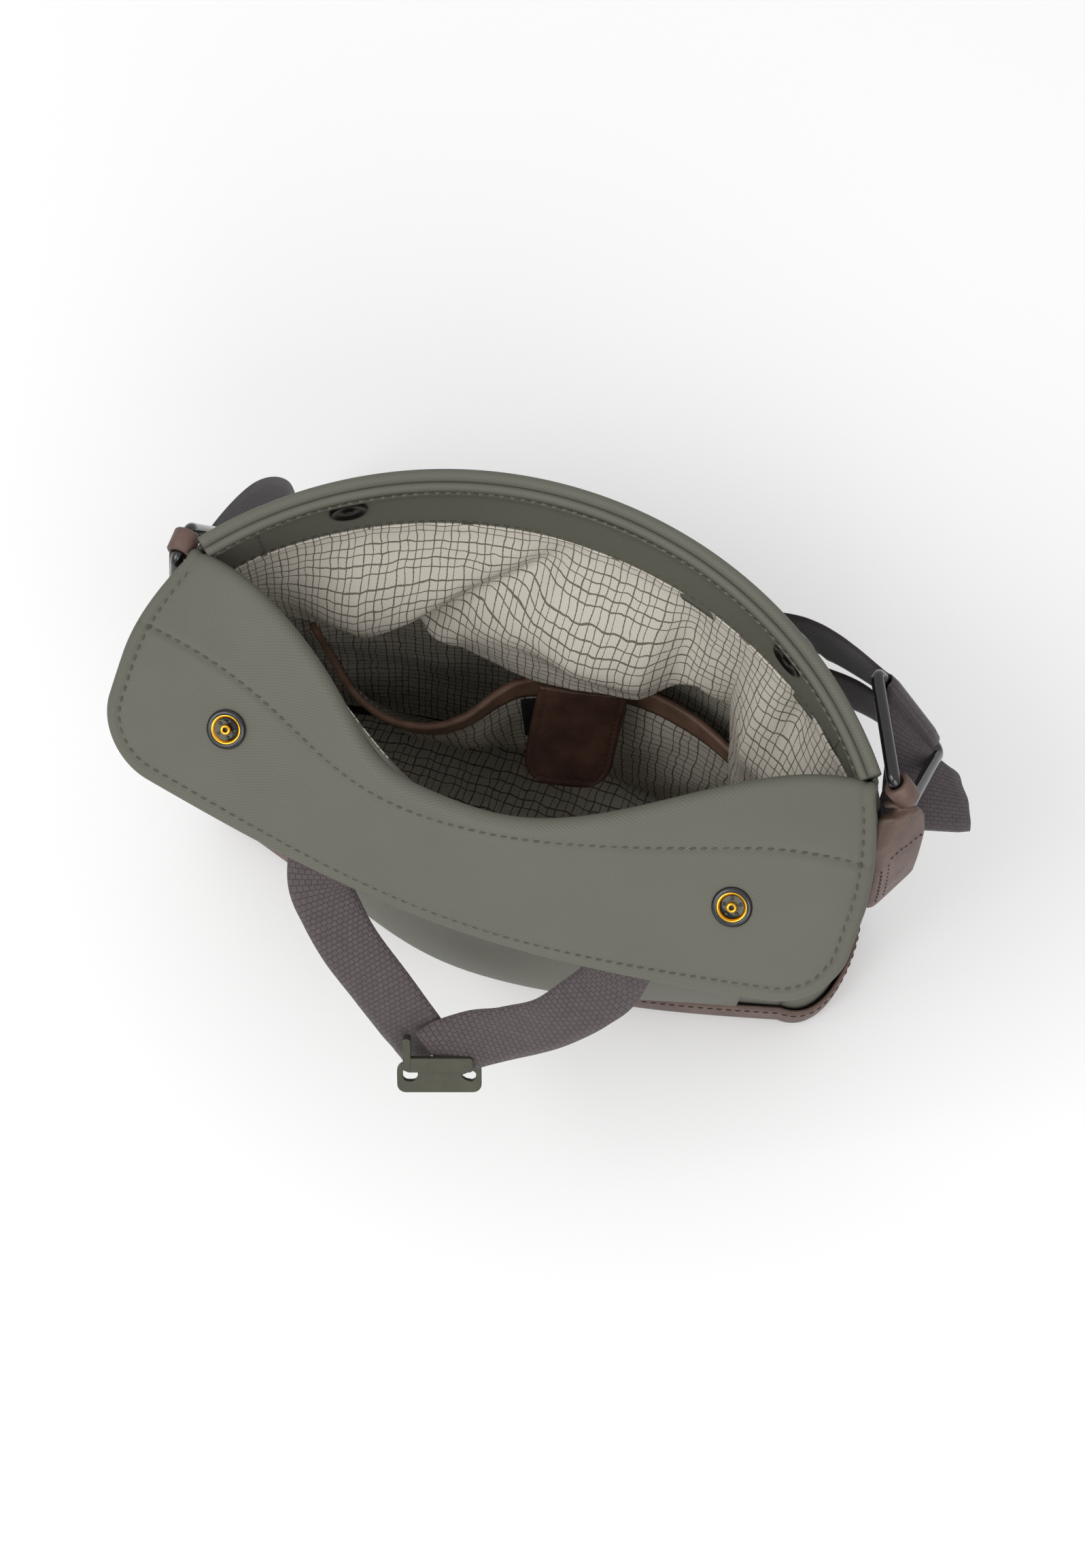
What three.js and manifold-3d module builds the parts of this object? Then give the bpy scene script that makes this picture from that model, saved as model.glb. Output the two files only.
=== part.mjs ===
// A small flap messenger bag, standing open with its flap thrown back.
// Millimetres. +Z is up, +X runs along the bag, +Y is its front, and the flap lies towards -Y.
// The origin is the centre of the base's underside.
import * as THREE from 'three';
import { mergeVertices } from 'three/addons/utils/BufferGeometryUtils.js';
import Module from 'manifold-3d';

const wasm = await Module();
wasm.setup();

// Driving dimensions -------------------------------------------------------------------------

const MOUTH_HALF = 134; // half the distance between the mouth's two corners
const FRONT_BULGE = 67.5; // how far the front rim arches out from the line between the corners
const BACK_BULGE = 60; // the same for the back rim
const CORNER_Z = 235; // height of the mouth's corners
const FRONT_Z = 240; // height of the front rim at its middle
const CREST_Z = 228; // height of the back rim's fold at its middle
const BASE_HALF = 127; // half the base's length between its corners
const BASE_NOSE = 18; // how far the base's rounded ends stand out past the corners
const BASE_CORNER_Y = 31; // half the base's depth at its corners
const BASE_FRONT = 19; // extra depth at the middle of the front
const BASE_BACK = 24; // extra depth at the middle of the back
const GUSSET_TOP = 18; // width of a gusset at the rim
const SKIN = 2.2; // thickness of the padded outer canvas
const LINING_SAG = 36; // how far the front lining sags into the bag
const CLOTH = 1.1; // thickness of one layer of lining or facing
const GAP = 0.6; // room between neighbouring layers
const FACING = 29; // height of the facing band inside the rim
const TRAY = 22; // height of the leather tray round the base
const FLAP_CLOTH = 85; // cloth from the lining's edge, over the back rim, to the flap's free edge
const SEAM_CLOTH = 33; // cloth from the lining's edge to the cross seam
const FLAP_HALF = 146; // half the flap's width
const FLAP_RADIUS = 22; // radius of the flap's outer corners
const FLAP_SIDE_DROP = 26; // how far the flap's free edge hangs below the corners, at its ends
const FLAP_MID_DROP = 55; // and at its middle
const SNAP_X = 96; // the snaps' distance from the middle of the flap
const SNAP_CLOTH = 52; // cloth from the lining's edge to the snaps
const WEBBING = 25; // width of the closure straps
const STRAP = 36; // width of the shoulder strap
const STRAP_THICK = 1.6;
const ROD = 2.5; // radius of the ring's rod
const GUSSET_BULGE = 9; // how far a gusset bellies out half way up

const PI = Math.PI;
const FRONT_RADIUS = (MOUTH_HALF ** 2 + FRONT_BULGE ** 2) / (2 * FRONT_BULGE);
const CORNER_ANGLE = Math.asin(MOUTH_HALF / FRONT_RADIUS);
const PANEL_ANGLE = CORNER_ANGLE - GUSSET_TOP / FRONT_RADIUS;

// Colours ------------------------------------------------------------------------------------

const LOOKS = {
  canvas: { color: 0x6c6d63, roughness: 0.75, metalness: 0 },
  lining: { color: 0xafa89e, roughness: 0.9, metalness: 0 },
  leather: { color: 0x3e281e, roughness: 0.6, metalness: 0 },
  tab_leather: { color: 0x645048, roughness: 0.6, metalness: 0 },
  webbing: { color: 0x4b4242, roughness: 0.9, metalness: 0 },
  black_metal: { color: 0x101010, roughness: 0.25, metalness: 0.9 },
  dark_metal: { color: 0x46463a, roughness: 0.5, metalness: 0.6 },
  brass: { color: 0xb08830, roughness: 0.3, metalness: 1 },
  board: { color: 0x8a7a60, roughness: 0.9, metalness: 0 },
  hook_loop: { color: 0x141414, roughness: 1, metalness: 0 },
};

const bag = new THREE.Group();

function add(name, look, geometry) {
  const mesh = new THREE.Mesh(geometry, new THREE.MeshStandardMaterial(LOOKS[look]));
  mesh.name = name;
  bag.add(mesh);
  return mesh;
}

// Solids -------------------------------------------------------------------------------------

const V = (x, y, z) => new THREE.Vector3(x, y, z);
const lerp = THREE.MathUtils.lerp;
const clamp01 = (t) => Math.min(1, Math.max(0, t));
const smooth = (t) => clamp01(t) ** 2 * (3 - 2 * clamp01(t));

// A closed mesh from points and triangles, turned so that its faces point outwards.
function solid(points, faces) {
  let volume = 0;
  for (const [a, b, c] of faces) {
    volume += points[a].dot(points[b].clone().cross(points[c]));
  }
  const index = faces.flatMap(([a, b, c]) => (volume > 0 ? [a, b, c] : [a, c, b]));
  const geometry = new THREE.BufferGeometry().setFromPoints(points);
  geometry.setIndex(index);
  return geometry;
}

// A sheet of even thickness: surface(u, v) with u and v from 0 to 1, between two offsets along
// its normal, which is the direction of u crossed with the direction of v.
function sheet(surface, columns, rows, low, high) {
  const points = [];
  const step = 1e-3;
  const at = (i, j, side) => (i * (rows + 1) + j) * 2 + side;
  for (let i = 0; i <= columns; i++) {
    for (let j = 0; j <= rows; j++) {
      const u = i / columns;
      const v = j / rows;
      const u0 = Math.max(0, u - step);
      const v0 = Math.max(0, v - step);
      const along = surface(Math.min(1, u0 + 2 * step), v).sub(surface(Math.min(u0, 1 - 2 * step), v));
      const up = surface(u, Math.min(1, v0 + 2 * step)).sub(surface(u, Math.min(v0, 1 - 2 * step)));
      const normal = along.cross(up).normalize();
      const point = surface(u, v);
      points.push(point.clone().addScaledVector(normal, low), point.clone().addScaledVector(normal, high));
    }
  }
  const faces = [];
  const quad = (a, b, c, d) => faces.push([a, b, c], [a, c, d]);
  for (let i = 0; i < columns; i++) {
    for (let j = 0; j < rows; j++) {
      quad(at(i, j, 1), at(i + 1, j, 1), at(i + 1, j + 1, 1), at(i, j + 1, 1));
      quad(at(i, j, 0), at(i, j + 1, 0), at(i + 1, j + 1, 0), at(i + 1, j, 0));
    }
    quad(at(i, 0, 0), at(i + 1, 0, 0), at(i + 1, 0, 1), at(i, 0, 1));
    quad(at(i, rows, 1), at(i + 1, rows, 1), at(i + 1, rows, 0), at(i, rows, 0));
  }
  for (let j = 0; j < rows; j++) {
    quad(at(0, j, 0), at(0, j, 1), at(0, j + 1, 1), at(0, j + 1, 0));
    quad(at(columns, j, 1), at(columns, j, 0), at(columns, j + 1, 0), at(columns, j + 1, 1));
  }
  return solid(points, faces);
}

// A body swept through a row of loops, each with the same number of corners.
function sweep(loops, closed) {
  const size = loops[0].length;
  const faces = [];
  const last = closed ? loops.length : loops.length - 1;
  for (let i = 0; i < last; i++) {
    const next = (i + 1) % loops.length;
    for (let k = 0; k < size; k++) {
      const a = i * size + k;
      const b = i * size + ((k + 1) % size);
      const c = next * size + ((k + 1) % size);
      const d = next * size + k;
      faces.push([a, b, c], [a, c, d]);
    }
  }
  if (!closed) {
    const end = (loops.length - 1) * size;
    for (let k = 1; k < size - 1; k++) {
      faces.push([0, k + 1, k], [end, end + k, end + k + 1]);
    }
  }
  return solid(loops.flat(), faces);
}

// Webbing: a flat ribbon through chosen stations, each a point and the way the ribbon faces there.
function ribbon(stations, width, steps) {
  const curve = new THREE.CatmullRomCurve3(stations.map(([point]) => point), false, 'centripetal');
  const spans = stations.length - 1;
  const loops = [];
  for (let i = 0; i <= steps; i++) {
    const t = curve.getUtoTmapping(i / steps);
    const run = Math.min(spans - 1e-9, t * spans);
    const k = Math.floor(run);
    const facing = stations[k][1].clone().lerp(stations[k + 1][1], smooth(run - k));
    const tangent = curve.getTangent(t);
    const across = tangent.clone().cross(facing).normalize();
    const normal = across.clone().cross(tangent).normalize();
    const centre = curve.getPoint(t);
    const corner = (a, b) =>
      centre.clone()
        .addScaledVector(across, (a * width) / 2)
        .addScaledVector(normal, (b * STRAP_THICK) / 2);
    loops.push([corner(-1, -1), corner(1, -1), corner(1, 1), corner(-1, 1)]);
  }
  return sweep(loops, false);
}

// A solid turned so that its x, y and z point along the given directions, then moved.
function place(geometry, origin, ex, ey, ez) {
  const matrix = new THREE.Matrix4().makeBasis(ex, ey, ez).setPosition(origin);
  return geometry.applyMatrix4(matrix);
}

function toManifold(geometry) {
  const bare = geometry.clone();
  bare.deleteAttribute('normal');
  bare.deleteAttribute('uv');
  const merged = mergeVertices(bare, 1e-4);
  return new wasm.Manifold(
    new wasm.Mesh({
      numProp: 3,
      vertProperties: new Float32Array(merged.attributes.position.array),
      triVerts: new Uint32Array(merged.index.array),
    }),
  );
}

function fromManifold(body) {
  const mesh = body.getMesh();
  const result = new THREE.BufferGeometry();
  result.setAttribute('position', new THREE.BufferAttribute(new Float32Array(mesh.vertProperties), 3));
  result.setIndex(new THREE.BufferAttribute(new Uint32Array(mesh.triVerts), 1));
  return result;
}

function cut(geometry, ...cutters) {
  const start = toManifold(geometry);
  return fromManifold(cutters.reduce((body, cutter) => body.subtract(toManifold(cutter)), start));
}

function join(geometry, ...others) {
  return fromManifold(others.reduce((body, other) => body.add(toManifold(other)), toManifold(geometry)));
}

// The bag's walls ----------------------------------------------------------------------------
// Every wall runs anticlockwise round the bag seen from above, so its normal points outwards.

const backRimY = (x) => (-BACK_BULGE / 2) * (1 + Math.cos((PI * x) / MOUTH_HALF));
const backRimZ = (x) => CORNER_Z - ((CORNER_Z - CREST_Z) * (1 + Math.cos((PI * x) / MOUTH_HALF))) / 2;
const frontRim = (angle) => {
  const drop = (CORNER_Z - FRONT_Z) * (angle / CORNER_ANGLE) ** 2;
  const y = FRONT_RADIUS * Math.cos(angle) - (FRONT_RADIUS - FRONT_BULGE);
  return V(FRONT_RADIUS * Math.sin(angle), y, FRONT_Z + drop);
};
const frontBase = (s) => V(BASE_HALF * s, BASE_CORNER_Y + BASE_FRONT * Math.cos((PI * s) / 2), 0);
const backBase = (s) => V(BASE_HALF * s, -BASE_CORNER_Y - BASE_BACK * Math.cos((PI * s) / 2), 0);
const endBase = (angle) => {
  const nose = BASE_NOSE * Math.cos(angle) ** 0.7;
  return V(BASE_HALF + nose, BASE_CORNER_Y * Math.sin(angle), 0);
};

// A wall's point at height share t, from the floor to its rim. It stands upright inside the tray.
const TRAY_SHARE = (TRAY + 1) / CORNER_Z;
function wall(base, rim, bulge, t) {
  const lean = Math.max(0, (t - TRAY_SHARE) / (1 - TRAY_SHARE));
  const point = V(lerp(base.x, rim.x, lean), lerp(base.y, rim.y, lean), lerp(base.z, rim.z, t));
  return point.addScaledVector(bulge, Math.sin(PI * clamp01(lean)));
}
const frontWall = (s, t) => wall(frontBase(s), frontRim(s * PANEL_ANGLE), V(0, 6, 0), t);
const backWall = (s, t) => {
  const x = (MOUTH_HALF - 1.2) * s;
  return wall(backBase(s), V(x, backRimY(x), backRimZ(x)), V(0, -5, 0), t);
};
const endWall = (side, s, t) => {
  const rim = frontRim(lerp(CORNER_ANGLE - 0.004, PANEL_ANGLE, s));
  const point = wall(endBase(lerp(-PI / 2, PI / 2, s)), rim, V(GUSSET_BULGE * Math.sin(PI * s), 0, 0), t);
  point.x *= side;
  return point;
};

// Shares of the height at the walls' lower and upper edges.
const LOW = 3.4 / CORNER_Z;
const FACING_LOW = 1 - FACING / CORNER_Z;
const WALL_TOP = 0.99;

// Across a wall from u = 0 to 1, keeping a margin at both ends so that corners stay apart.
const across = (u, margin) => lerp(-1 + margin, 1 - margin, u);
// The height share of a whole wall's row: its first fifth stands inside the tray.
const IN_TRAY = 0.2;
const rising = (v, top) =>
  v < IN_TRAY
    ? lerp(LOW, TRAY_SHARE, v / IN_TRAY)
    : lerp(TRAY_SHARE, top, (v - IN_TRAY) / (1 - IN_TRAY));
const frontSheet = (margin, low, high) => (u, v) => frontWall(-across(u, margin), lerp(low, high, v));
const endSheet = (side, start, end, low, high) => (u, v) =>
  endWall(side, side > 0 ? lerp(start, end, u) : lerp(end, start, u), lerp(low, high, v));

const snapAngle = SNAP_X / FRONT_RADIUS;
const socketHeight = 12;

function socketFrame(side) {
  const s = (side * snapAngle) / PANEL_ANGLE;
  const t = 1 - socketHeight / FRONT_Z;
  const point = frontWall(s, t);
  const along = frontWall(s - 0.01, t).sub(frontWall(s + 0.01, t)).normalize();
  const up = frontWall(s, t + 0.01).sub(frontWall(s, t - 0.01)).normalize();
  const out = along.clone().cross(up).normalize();
  return { point, along, up: out.clone().cross(along), out };
}

// A cylinder whose axis runs along out, from depth low to depth high.
function pin(frame, radius, low, high, sides = 12) {
  const cylinder = new THREE.CylinderGeometry(radius, radius, high - low, sides);
  cylinder.rotateX(PI / 2);
  cylinder.translate(0, 0, (low + high) / 2);
  return place(cylinder, frame.point, frame.along, frame.up, frame.out);
}

// A turned part from a profile of radius and height pairs, its axis along out.
function turned(frame, profile, sides = 14) {
  const shape = profile.map(([r, h]) => new THREE.Vector2(r, h));
  const lathe = new THREE.LatheGeometry(shape, sides);
  lathe.rotateX(PI / 2);
  lathe.deleteAttribute('normal');
  lathe.deleteAttribute('uv');
  const merged = mergeVertices(lathe, 1e-4);
  const position = merged.attributes.position;
  const points = [];
  for (let i = 0; i < position.count; i++) {
    points.push(new THREE.Vector3().fromBufferAttribute(position, i));
  }
  const faces = [];
  for (let i = 0; i < merged.index.count; i += 3) {
    const face = [0, 1, 2].map((k) => merged.index.getX(i + k));
    if (new Set(face).size === 3) {
      faces.push(face);
    }
  }
  return place(solid(points, faces), frame.point, frame.along, frame.up, frame.out);
}

const socketHoles = [1, -1].map((side) => pin(socketFrame(side), 3, -4, 5));

const frontPanel = (u, v) => frontWall(-across(u, 0.004), rising(v, WALL_TOP));
add('front_panel', 'canvas', cut(sheet(frontPanel, 20, 5, 0, SKIN), ...socketHoles));
add('front_facing', 'canvas',
  cut(sheet(frontSheet(0.006, FACING_LOW, WALL_TOP), 20, 1, -GAP - CLOTH, -GAP), ...socketHoles));
add('lining_front', 'lining', sheet(liningFront, 16, 9, -CLOTH / 2, CLOTH / 2));

const backTop = (x) => 0.972 - 0.016 * Math.cos((PI * x) / 2);
const backPanel = (u, v) => backWall(across(u, 0.004), rising(v, backTop(across(u, 0.004))));
add('back_panel', 'canvas', sheet(backPanel, 22, 5, 0, SKIN));
const backFacing = (u, v) => backWall(across(u, 0.07), lerp(FACING_LOW, 0.985, v));
add('back_facing', 'canvas', sheet(backFacing, 22, 1, -GAP - CLOTH, -GAP));
const liningBack = (u, v) => {
  const t = lerp(0.04, FACING_LOW - 0.006, v);
  return backWall(across(u, 0.07), t).add(V(0, 3 + 5 * Math.sin(PI * v), 0));
};
add('lining_back', 'lining', sheet(liningBack, 16, 4, -CLOTH / 2, CLOTH / 2));

// The front lining sags into the bag above the inner pocket.
function liningFront(u, v) {
  const s = -across(u, 0.06);
  const t = lerp(0.04, FACING_LOW - 0.006, v);
  const middle = Math.exp(-((s / 0.62) ** 4));
  const down = smooth((t - 0.46) / 0.16) * (1 - smooth((t - 0.64) / 0.26));
  const sag = LINING_SAG * middle * down;
  return frontWall(s, t).add(V(0, -3.4 - sag, 0));
}

for (const [side, hand] of [[1, 'right'], [-1, 'left']]) {
  const gusset = (u, v) => {
    const s = side > 0 ? lerp(0.02, 0.985, u) : lerp(0.985, 0.02, u);
    return endWall(side, s, rising(v, WALL_TOP));
  };
  add(`gusset_${hand}`, 'canvas', sheet(gusset, 6, 5, 0, SKIN));
  add(`facing_${hand}`, 'canvas',
    sheet(endSheet(side, 0.3, 0.97, FACING_LOW, WALL_TOP), 2, 2, -2 * GAP - CLOTH, -2 * GAP));
  const inset = (u, v) => {
    const low = endSheet(side, 0.24, 0.8, 0.04, FACING_LOW - 0.006)(u, v);
    low.x -= side * (3 + 4 * Math.sin(PI * v));
    return low;
  };
  add(`lining_${hand}`, 'lining', sheet(inset, 6, 6, -CLOTH / 2, CLOTH / 2));
}

// The rolled outer edge of the front rim: a bead that runs along the top of the panel.
function bead(angleFrom, angleTo, steps) {
  const loops = [];
  for (let i = 0; i <= steps; i++) {
    const angle = lerp(angleFrom, angleTo, i / steps);
    const centre = frontRim(angle);
    const out = V(Math.sin(angle), Math.cos(angle), 0);
    const loop = [];
    for (let k = 0; k < 6; k++) {
      const turn = (k * PI) / 3;
      const point = centre.clone().addScaledVector(out, 0.2 + 2.6 * Math.cos(turn));
      point.z += 1.2 + 2 * Math.sin(turn);
      loop.push(point);
    }
    loops.push(loop);
  }
  return sweep(loops, false);
}
add('rim_roll', 'canvas', bead(-CORNER_ANGLE + 0.02, CORNER_ANGLE - 0.02, 24));

// The base: leather tray, stiffening board and bottom lining ------------------------------------

function baseOutline(outset) {
  const line = [];
  for (let i = 0; i < 12; i++) {
    line.push(backBase(lerp(-1, 1, i / 12)));
  }
  for (let i = 0; i < 8; i++) {
    line.push(endBase(lerp(-PI / 2, PI / 2, i / 8)));
  }
  for (let i = 0; i < 12; i++) {
    line.push(frontBase(lerp(1, -1, i / 12)));
  }
  for (let i = 0; i < 8; i++) {
    const point = endBase(lerp(PI / 2, -PI / 2, i / 8));
    line.push(V(-point.x, point.y, 0));
  }
  const outline = line.map((point, i) => {
    const before = line[(i + line.length - 1) % line.length];
    const after = line[(i + 1) % line.length];
    const along = after.clone().sub(before).normalize();
    return new THREE.Vector2(point.x + along.y * outset, point.y - along.x * outset);
  });
  return new THREE.Shape(outline);
}

function slab(outset, low, high) {
  const body = new THREE.ExtrudeGeometry(baseOutline(outset), { depth: high - low, bevelEnabled: false });
  return body.translate(0, 0, low);
}

const trayInside = SKIN + 1.4;
add('leather_base', 'leather', cut(slab(trayInside + 1.6, 0, TRAY), slab(trayInside, 2.4, TRAY + 1)));
add('base_board', 'board', slab(-1.5, 3.2, 5.4));
add('lining_bottom', 'lining', slab(-6.5, 6.2, 7.3));

// The inner pocket on the front lining, its leather lip and its tongue --------------------------

const pocketLip = new THREE.CatmullRomCurve3([
  V(-104, 28, 122), V(-86, 15, 121), V(-56, 0, 119), V(-36, 3, 119), V(-10, 30, 122),
  V(30, 41, 124), V(62, 37, 124), V(96, 24, 122),
]);
const pocket = (low, high) => (u, v) => {
  const top = pocketLip.getPointAt(u);
  const foot = V(lerp(-96, 90, u), 32 + 8 * Math.sin(PI * u), 26);
  const point = foot.lerp(top, lerp(low, high, v));
  point.y -= 10 * Math.sin(PI * lerp(low, high, v)) * Math.sin(PI * u);
  return point;
};
add('inner_pocket_panel', 'lining', sheet(pocket(0, 0.93), 16, 4, 0, CLOTH));
add('pocket_binding', 'leather', sheet(pocket(0.936, 1), 16, 1, -0.5, CLOTH + 0.5));
const patch = (u, v) => pocket(0, 1)(lerp(0.5, 0.6, u), lerp(0.62, 0.9, v));
add('hook_patch', 'hook_loop', sheet(patch, 3, 3, -2.3, -1.1));

const TONGUE_X = 10;
const TONGUE_TOP = V(TONGUE_X, 21, 136);
const TONGUE_WIDE = 35;
const tongueDown = V(0, -19, -41).normalize();
const tongue = (length, wide, sideways) => (u, v) => {
  const reach = length * v;
  const corner = 10;
  const inset = corner - Math.sqrt(corner ** 2 - Math.max(0, reach - (length - corner)) ** 2);
  const x = (wide / 2 - inset * 0.98) * lerp(-1, 1, u) + sideways;
  const point = TONGUE_TOP.clone().addScaledVector(tongueDown, reach);
  return point.add(V(x, 3 * Math.sin(PI * v), 0));
};
add('pocket_tongue', 'leather', sheet(tongue(45, TONGUE_WIDE, 0), 6, 10, 0, 2));
const loopPatch = (u, v) => tongue(45, 22, 0)(u, lerp(0.5, 0.74, v));
add('loop_patch', 'hook_loop', sheet(loopPatch, 2, 2, 2.4, 3.4));

// The outer slip pocket on the back panel --------------------------------------------------------

const SLIP_LOW = 0.115;
const SLIP_OFF = 3.4;
const SLIP_PUFF = 20;
const backPocket = (low, high) => (u, v) => {
  const s = across(u, 0.16);
  const t = lerp(low, high, v);
  const middle = Math.cos((PI * s) / 2);
  const puff = SLIP_PUFF * smooth((t - SLIP_LOW) / 0.3) * (1 - 0.3 * smooth((t - 0.45) / 0.25));
  const gape = SLIP_OFF + puff * middle;
  return backWall(s, t).add(V(0, -gape, 0));
};
add('back_pocket_panel', 'canvas', sheet(backPocket(SLIP_LOW, 0.7), 16, 6, 0, 1.5));
add('back_pocket_binding', 'canvas', sheet(backPocket(0.704, 0.735), 16, 1, -0.4, 1.9));

// The flap ---------------------------------------------------------------------------------------
// across the flap: a from -FLAP_HALF to FLAP_HALF. down it: b, cloth measured from the lining's edge.

const crestCloth = (a) => {
  const x = (a * MOUTH_HALF) / FLAP_HALF;
  return 14 * (1 + Math.cos((PI * x) / MOUTH_HALF));
};
const freeCloth = (a) => {
  const past = Math.max(0, Math.abs(a) - (FLAP_HALF - FLAP_RADIUS));
  return FLAP_CLOTH - (FLAP_RADIUS - Math.sqrt(Math.max(0, FLAP_RADIUS ** 2 - past ** 2)));
};
function flapPoint(a, b) {
  const x0 = (a * MOUTH_HALF) / FLAP_HALF;
  const swell = Math.cos((PI * a) / (2 * FLAP_HALF));
  const crest = V(x0, backRimY(x0) - 0.3, backRimZ(x0) + 1.4);
  const drop = lerp(FLAP_SIDE_DROP, FLAP_MID_DROP, swell);
  const free = V(a, -80 - 11 * swell, CORNER_Z + 1.4 - drop);
  const share = (b - crestCloth(a)) / (FLAP_CLOTH - crestCloth(a));
  const flare = lerp(x0, a, Math.sin((PI / 2) * clamp01(share / 0.55)));
  const arch = 5 * Math.sin(PI * clamp01(share));
  return V(flare, lerp(crest.y, free.y, share) - arch * 0.4, lerp(crest.z, free.z, share) + arch * 0.9);
}
// Columns are closer together towards the rounded corners.
const flapAcross = (u) => (FLAP_HALF - 0.4) * Math.sin((PI / 2) * lerp(-1, 1, u));
const flapSheet = (from, to) => (u, v) => {
  const a = flapAcross(u);
  return flapPoint(a, lerp(from(a), to(a), v));
};
const seamFrom = () => SEAM_CLOTH + 0.3;
const seamTo = () => SEAM_CLOTH - 0.3;

function flapFrame(a, b) {
  const point = flapPoint(a, b);
  const along = flapPoint(a + 0.5, b).sub(flapPoint(a - 0.5, b)).normalize();
  const down = flapPoint(a, b + 0.5).sub(flapPoint(a, b - 0.5)).normalize();
  const out = down.clone().cross(along).normalize();
  return { point, along, up: out.clone().cross(along), out };
}
const studFrames = [1, -1].map((side) => flapFrame(side * (SNAP_X + 4), SNAP_CLOTH));
const studHoles = () => studFrames.map((frame) => pin(frame, 3, -5, 3));

// Seen from above the flap, u crossed with v points down into it, so offsets are negative upwards.
add('back_yoke', 'canvas', sheet(flapSheet(crestCloth, seamTo), 26, 2, 0, 2.4));
add('flap_facing', 'canvas', cut(sheet(flapSheet(seamFrom, freeCloth), 28, 4, 0, CLOTH), ...studHoles()));
add('flap_outer', 'canvas',
  cut(sheet(flapSheet(seamFrom, freeCloth), 28, 4, CLOTH + 0.4, 2 * CLOTH + 0.4), ...studHoles()));

const STUD = [[0, -3.4], [2.6, -3.4], [2.6, 0.3], [7.3, 0.3], [7.3, 1.4], [6.4, 1.9], [4.6, 1.3], [3.2, 1.3],
  [2.4, 1.6], [2.2, 3.6], [1.1, 3.6], [1.1, 1.6], [0, 1.6]];
const STUD_CAP = [[0, -5.2], [5.4, -5], [7.1, -4], [7.1, -3.1], [3, -3.1], [3, -3.7], [0, -3.7]];
const SOCKET = [[0, -2.4], [2.6, -2.4], [2.6, 2.6], [7.1, 2.6], [7.1, 5], [6.2, 5.6],
  [3.4, 5.6], [3, 4.2], [0, 4.2]];
const SOCKET_CAP = [[0, -3.2], [3, -3.2], [3, -2.5], [7, -2.5], [7.4, -3.4], [6.6, -4.2],
  [3, -3.7], [0, -3.7]];
['right', 'left'].forEach((hand, i) => {
  add(`snap_stud_${hand}`, 'brass', turned(studFrames[i], STUD));
  add(`stud_cap_${hand}`, 'dark_metal', turned(studFrames[i], STUD_CAP));
  const frame = socketFrame(i === 0 ? 1 : -1);
  add(`snap_socket_${hand}`, 'dark_metal', turned(frame, SOCKET));
  add(`socket_cap_${hand}`, 'dark_metal', turned(frame, SOCKET_CAP));
});

// The closure strap: two webbing straps sewn under the flap and joined by a hook buckle ----------

const anchor = (middle) => (u, v) => flapPoint(middle + lerp(-WEBBING / 2, WEBBING / 2, u), lerp(50, 79, v));
add('strap_anchor_left', 'webbing', sheet(anchor(-52), 4, 4, 3.6, 3.6 + STRAP_THICK));
add('strap_anchor_right', 'webbing', sheet(anchor(66), 4, 4, 3.6, 3.6 + STRAP_THICK));

add('closure_strap_left', 'webbing', ribbon([
  [V(-55, -87.5, 176.5), V(0.1, -0.55, 0.83)], [V(-48, -97, 170), V(0.08, -0.58, 0.8)],
  [V(-35, -108, 162), V(0.06, -0.6, 0.8)], [V(-19, -116, 153), V(0.05, -0.6, 0.78)],
  [V(-6, -122, 144), V(0.05, -0.65, 0.74)], [V(2, -125, 138), V(0.05, -0.7, 0.7)],
], WEBBING, 12));
add('closure_strap_right', 'webbing', ribbon([
  [V(68, -86, 175), V(0, -0.6, 0.8)], [V(62, -95, 167), V(0.1, -0.68, 0.7)],
  [V(48, -106, 158), V(0.25, -0.75, 0.6)], [V(34, -114, 150), V(0.2, -0.75, 0.62)],
  [V(26, -119, 148), V(0.1, -0.75, 0.65)], [V(22.5, -120.5, 147.3), V(0.1, -0.75, 0.65)],
], WEBBING, 12));

const buckleX = V(0.938, 0.347, 0);
const buckleZ = V(0.22, -0.594, 0.774).normalize();
const buckleY = buckleZ.clone().cross(buckleX).normalize();
buckleX.copy(buckleY.clone().cross(buckleZ));
const BUCKLE = V(12, -136, 133);

function plate(wide, tall, thick, radius, slots) {
  const shape = new THREE.Shape();
  const x = wide / 2 - radius;
  const y = tall / 2 - radius;
  shape.absarc(x, y, radius, 0, PI / 2);
  shape.absarc(-x, y, radius, PI / 2, PI);
  shape.absarc(-x, -y, radius, PI, 1.5 * PI);
  shape.absarc(x, -y, radius, 1.5 * PI, 2 * PI);
  for (const [slotWide, low, high] of slots) {
    const hole = new THREE.Path([
      new THREE.Vector2(-slotWide / 2, low), new THREE.Vector2(-slotWide / 2, high),
      new THREE.Vector2(slotWide / 2, high), new THREE.Vector2(slotWide / 2, low),
    ]);
    shape.holes.push(hole);
  }
  const body = new THREE.ExtrudeGeometry(shape, { depth: thick, bevelEnabled: false, curveSegments: 4 });
  return body.translate(0, 0, -thick / 2);
}

const frame = plate(35, 17, 2.4, 3, [[28, -5.8, -1.6], [28, 1.6, 6.2]]);
add('buckle_frame', 'dark_metal', place(frame, BUCKLE, buckleX, buckleY, buckleZ));

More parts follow.
